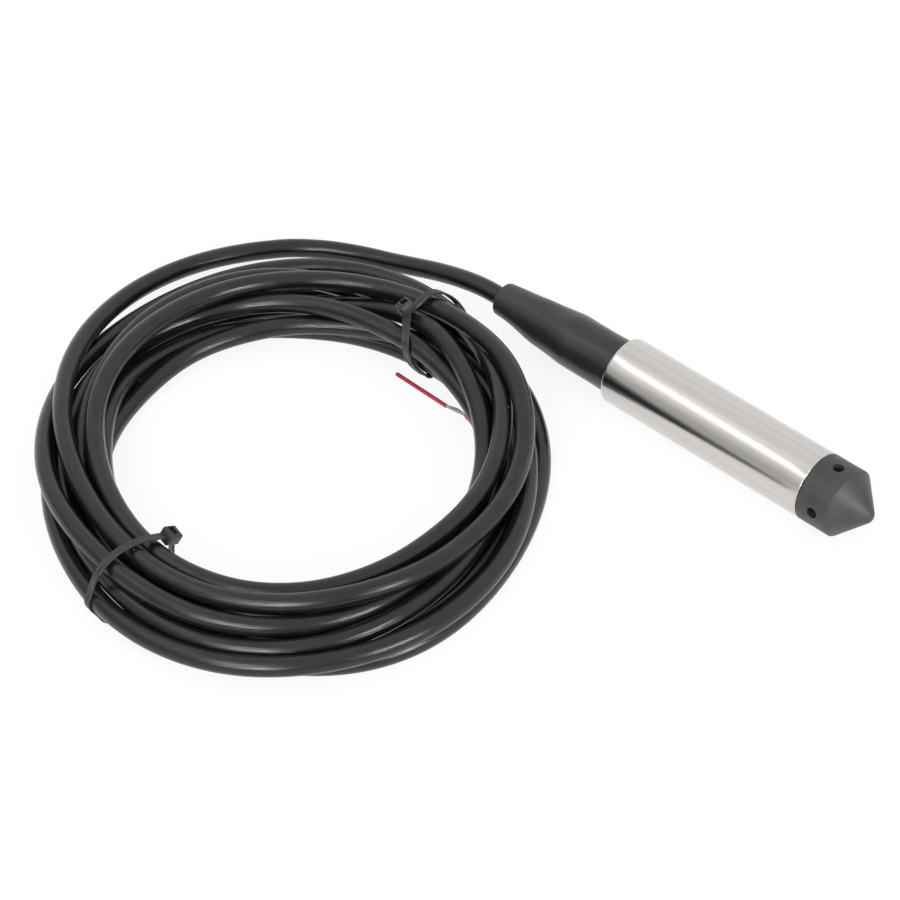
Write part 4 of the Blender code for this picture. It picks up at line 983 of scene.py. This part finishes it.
upper_strap = keep(strap_mesh("upper_tie_strap", lay_strap(UPPER_STRAP), ring_way(UPPER_STRAP_ANGLE)),
                   TIE_NYLON, "tie_nylon", "tie_upper")
upper_head = keep(tie_head("upper_tie_head", *UPPER_HEAD), TIE_NYLON, "tie_nylon")
lower_strap = keep(strap_mesh("lower_tie_strap", lay_strap(LOWER_STRAP), ring_way(LOWER_STRAP_ANGLE)),
                   TIE_NYLON, "tie_nylon", "tie_lower")
lower_head = keep(tie_head("lower_tie_head", *LOWER_HEAD), TIE_NYLON, "tie_nylon")

# Wires at the cable's cut end: a red core run out along the inside of the coil, its end stripped,
# and a short stub of the black core (places in millimetres)
CORE_RADIUS = 0.75 * MM
CORE_SIDES = 16
CORE_STEP = 1.0 * MM
STUB_STEP = 0.7 * MM
CORE_RUN = [(343, -17.2), (350, -15.3), (0, -13.4), (8, -11.9), (14, -10.9), (20, -10.2), (25, -10.3)]
CORE_RUN_HEIGHT = 0.9
CORE_SINKS = [(-3, -1.2), (4, -1.6)]            # along the cable from its cut end, and how far down
STUB_RISES = [(-3, 1.2), (3, 0.9), (7, 0.1)]
STRIP_END = (-67.0, -50.9, 1.2)
SLUG_START = (-76.3, -52.0, 1.1)
SLUG_END = (-103.4, -51.5, 1.1)
SLUG_RADIUS = 0.82 * MM
SLUG_EDGE = 0.08 * MM
SLUG_BULGE = 0.06 * MM
SLUG_WALL = 0.24 * MM
SLUG_HOLLOW = 2.5 * MM
WIRES_ROUND = 6                 # twisted round one straight wire
WIRE_SIDES = 8
WIRE_POINTS = 44
WIRE_REACH = (-0.12, 1.10)      # from inside the core to inside the sleeve, in shares of the gap
WIRE_RADIUS = 0.16 * MM
WIRE_CIRCLE = 0.36 * MM
WIRE_PITCH = 5.5 * MM
WIRE_SAG = 0.35 * MM
WIRE_FAN = 0.55                 # how much the twist opens halfway
WIRE_FLATTENED = 1.35           # how much wider than high it lies
WIRE_LOWEST = 0.2 * MM
cut_end = line[-1]
cut_way = line[-1] - line[-3]
cut_way = cut_way / np.linalg.norm(cut_way)


def from_cut_end(places):
    """Points along the cable's own course at its cut end, moved up or down."""
    return [cut_end + cut_way * along * MM + np.array([0.0, 0.0, rise * MM]) for along, rise in places]


core_points = from_cut_end(CORE_SINKS)
core_points += [ring_place(angle, offset, CORE_RUN_HEIGHT) * MM for angle, offset in CORE_RUN]
core_points += [np.array(STRIP_END) * MM]
core_line = curve_through(core_points, CORE_STEP)
core_line[:, 2] = np.maximum(core_line[:, 2], CORE_RADIUS + LOWEST)
red_core = keep(tube_mesh("red_core", core_line, CORE_RADIUS, CORE_SIDES), RED_INSULATION, "red_insulation")
stub_line = curve_through(from_cut_end(STUB_RISES), STUB_STEP)
black_core = keep(tube_mesh("black_core", stub_line, CORE_RADIUS, CORE_SIDES), BLACK_INSULATION,
                  "black_insulation")


def make_strands():
    """Thin wires twisted loosely round one, between the insulation and the slipped sleeve."""
    start = np.array(STRIP_END) * MM
    end = np.array(SLUG_START) * MM
    way = end - start
    reach = np.linalg.norm(way)
    way /= reach
    side = np.cross(way, (0.0, 0.0, 1.0))
    side /= np.linalg.norm(side)
    up = np.cross(side, way)
    t = np.linspace(*WIRE_REACH, WIRE_POINTS)
    open_part = np.sin(np.clip(t, 0, 1) * math.pi)
    fan = 1 + WIRE_FAN * open_part ** 2
    spine = start + t[:, None] * reach * way + (WIRE_SAG * open_part)[:, None] * side
    wires = []
    for wire in range(WIRES_ROUND + 1):
        swing = WIRE_CIRCLE if wire < WIRES_ROUND else 0.0
        turn = wire * 2 * math.pi / WIRES_ROUND + t * reach / WIRE_PITCH * 2 * math.pi
        path = (spine + (swing * fan * np.cos(turn))[:, None] * side * WIRE_FLATTENED
                + (swing * fan * np.sin(turn))[:, None] * up)
        path[:, 2] = np.maximum(path[:, 2], WIRE_LOWEST)
        wires.append(tube_mesh(f"strand_{wire}", path, WIRE_RADIUS, WIRE_SIDES))
    return joined(wires, "bare_strands")


def make_sleeve():
    """The slipped length of insulation, hollow at both cut ends."""
    start = Vector(SLUG_START) * MM
    end = Vector(SLUG_END) * MM
    way = end - start
    bpy.ops.object.select_all(action="DESELECT")
    bpy.ops.mesh.primitive_cylinder_add(vertices=28, radius=SLUG_RADIUS, depth=way.length)
    piece = bpy.context.object
    piece.name = "slipped_sleeve"
    for sign in (-1, 1):
        bpy.ops.object.mode_set(mode="EDIT")
        bpy.ops.mesh.select_all(action="DESELECT")
        bpy.ops.mesh.select_mode(type="FACE")
        bpy.ops.object.mode_set(mode="OBJECT")
        for face in piece.data.polygons:
            face.select = face.normal.z * sign > 0.9
        bpy.ops.object.mode_set(mode="EDIT")
        bpy.ops.mesh.inset(thickness=SLUG_EDGE)
        bpy.ops.transform.translate(value=(0.0, 0.0, sign * SLUG_BULGE))
        bpy.ops.mesh.inset(thickness=SLUG_WALL)
        bpy.ops.mesh.extrude_region_move(TRANSFORM_OT_translate={"value": (0.0, 0.0, -sign * SLUG_HOLLOW)})
    bpy.ops.object.mode_set(mode="OBJECT")
    piece.matrix_world = (Matrix.Translation((start + end) / 2)
                          @ way.to_track_quat("Z", "Y").to_matrix().to_4x4())
    settle_place(piece)
    smooth_shade(piece, 40)
    return piece


bare_strands = keep(make_strands(), TINNED, "tinned_metal", "wire_strands")
sleeve = keep(make_sleeve(), RED_INSULATION, "red_insulation", "wire_insulation")

# Floor, white to the eye and in reflections, which still keeps a soft shadow
FLOOR_GLOW = 0.86
FLOOR_WHITE = (0.93, 0.93, 0.93, 1.0)
FLOOR_SIZE = 40.0


def floor_material():
    made, tree, shader = new_material("white_floor")
    shader.inputs["Base Color"].default_value = FLOOR_WHITE
    shader.inputs["Roughness"].default_value = 1.0
    shader.inputs["Specular IOR Level"].default_value = 0.0
    glow = tree.nodes.new("ShaderNodeEmission")
    glow.inputs["Color"].default_value = (1.0, 1.0, 1.0, 1.0)
    rays = tree.nodes.new("ShaderNodeLightPath").outputs
    direct = calc(tree, "MAXIMUM", rays["Is Camera Ray"], rays["Is Glossy Ray"])
    seen = calc(tree, "MAXIMUM", direct, rays["Is Transmission Ray"])
    mix = tree.nodes.new("ShaderNodeMixShader")
    tree.links.new(calc(tree, "MULTIPLY", seen, FLOOR_GLOW), mix.inputs["Fac"])
    tree.links.new(shader.outputs[0], mix.inputs[1])
    tree.links.new(glow.outputs[0], mix.inputs[2])
    tree.links.new(mix.outputs[0], tree.nodes["Material Output"].inputs["Surface"])
    return made


bpy.ops.object.select_all(action="DESELECT")
bpy.ops.mesh.primitive_plane_add(size=FLOOR_SIZE)
floor = bpy.context.object
floor.name = "floor"
dress(floor, floor_material())

# Studio: a white surround that is dimmer low down on the camera's side, and four soft boxes
SKY = 0.95
LOW_SIDE = 0.50
LOW_FADE = (0.30, 0.62)         # height of the direction looked in, from low to high
NEAR_FADE = (-0.35, 0.15)       # the same along Y, from the camera's side to the far side
LIT_PLACE = Vector((-0.06, -0.09, 0.01))
BOX_DISTANCE = 1.6
SOFT_BOXES = [      # name, azimuth and elevation in degrees, width, height, radiance
    ("front_box", -78.0, 37.0, 0.42, 1.05, 5.0),
    ("low_box", -62.0, 27.0, 0.38, 0.42, 15.0),
    ("side_box", -3.0, 23.0, 0.54, 0.42, 14.0),
    ("top_box", -139.0, 56.0, 1.05, 0.36, 1.05),
]


def make_surround():
    world = bpy.context.scene.world or bpy.data.worlds.new("studio")
    bpy.context.scene.world = world
    world.use_nodes = True
    tree = world.node_tree
    background = tree.nodes["Background"]
    way = split(tree, tree.nodes.new("ShaderNodeTexCoord").outputs["Generated"])
    low = ramp(tree, way["Z"], *LOW_FADE, 1.0, 0.0)
    near = ramp(tree, way["Y"], *NEAR_FADE, 1.0, 0.0)
    light = ramp(tree, calc(tree, "MULTIPLY", low, near), 0.0, 1.0, SKY, LOW_SIDE)
    strength = tree.nodes.new("ShaderNodeMix")
    tree.links.new(tree.nodes.new("ShaderNodeLightPath").outputs["Is Camera Ray"], strength.inputs[0])
    tree.links.new(light, strength.inputs[2])
    strength.inputs[3].default_value = 1.0
    tree.links.new(strength.outputs[0], background.inputs["Strength"])
    background.inputs["Color"].default_value = (1.0, 1.0, 1.0, 1.0)


def soft_box(name, azimuth, elevation, width, height, radiance):
    """A rectangular lamp that looks at the object from a direction given in degrees."""
    round_way = math.radians(azimuth)
    up_way = math.radians(elevation)
    way = Vector((math.cos(up_way) * math.cos(round_way), math.cos(up_way) * math.sin(round_way),
                  math.sin(up_way)))
    lamp = bpy.data.lights.new(name, "AREA")
    lamp.shape = "RECTANGLE"
    lamp.size = width
    lamp.size_y = height
    lamp.energy = radiance * math.pi * width * height
    holder = bpy.data.objects.new(name, lamp)
    bpy.context.scene.collection.objects.link(holder)
    holder.location = LIT_PLACE + way * BOX_DISTANCE
    holder.rotation_euler = way.to_track_quat("Z", "Y").to_euler()


make_surround()
for box in SOFT_BOXES:
    soft_box(*box)

# Camera at the photograph's angle
CAMERA_PLACE = (0.56474, -0.74918, 0.88416)
CAMERA_DOWN = 43.761            # degrees below level
CAMERA_HEADING = 42.509
LENS = 131.69
FILM_WIDTH = 36.0
camera_data = bpy.data.cameras.new("camera")
camera_data.lens = LENS
camera_data.sensor_width = FILM_WIDTH
camera_data.clip_end = 20.0
camera = bpy.data.objects.new("camera", camera_data)
bpy.context.scene.collection.objects.link(camera)
camera.location = CAMERA_PLACE
camera.rotation_euler = (math.radians(90.0 - CAMERA_DOWN), 0.0, math.radians(CAMERA_HEADING))
bpy.context.scene.camera = camera
bpy.context.scene.view_settings.view_transform = "Standard"
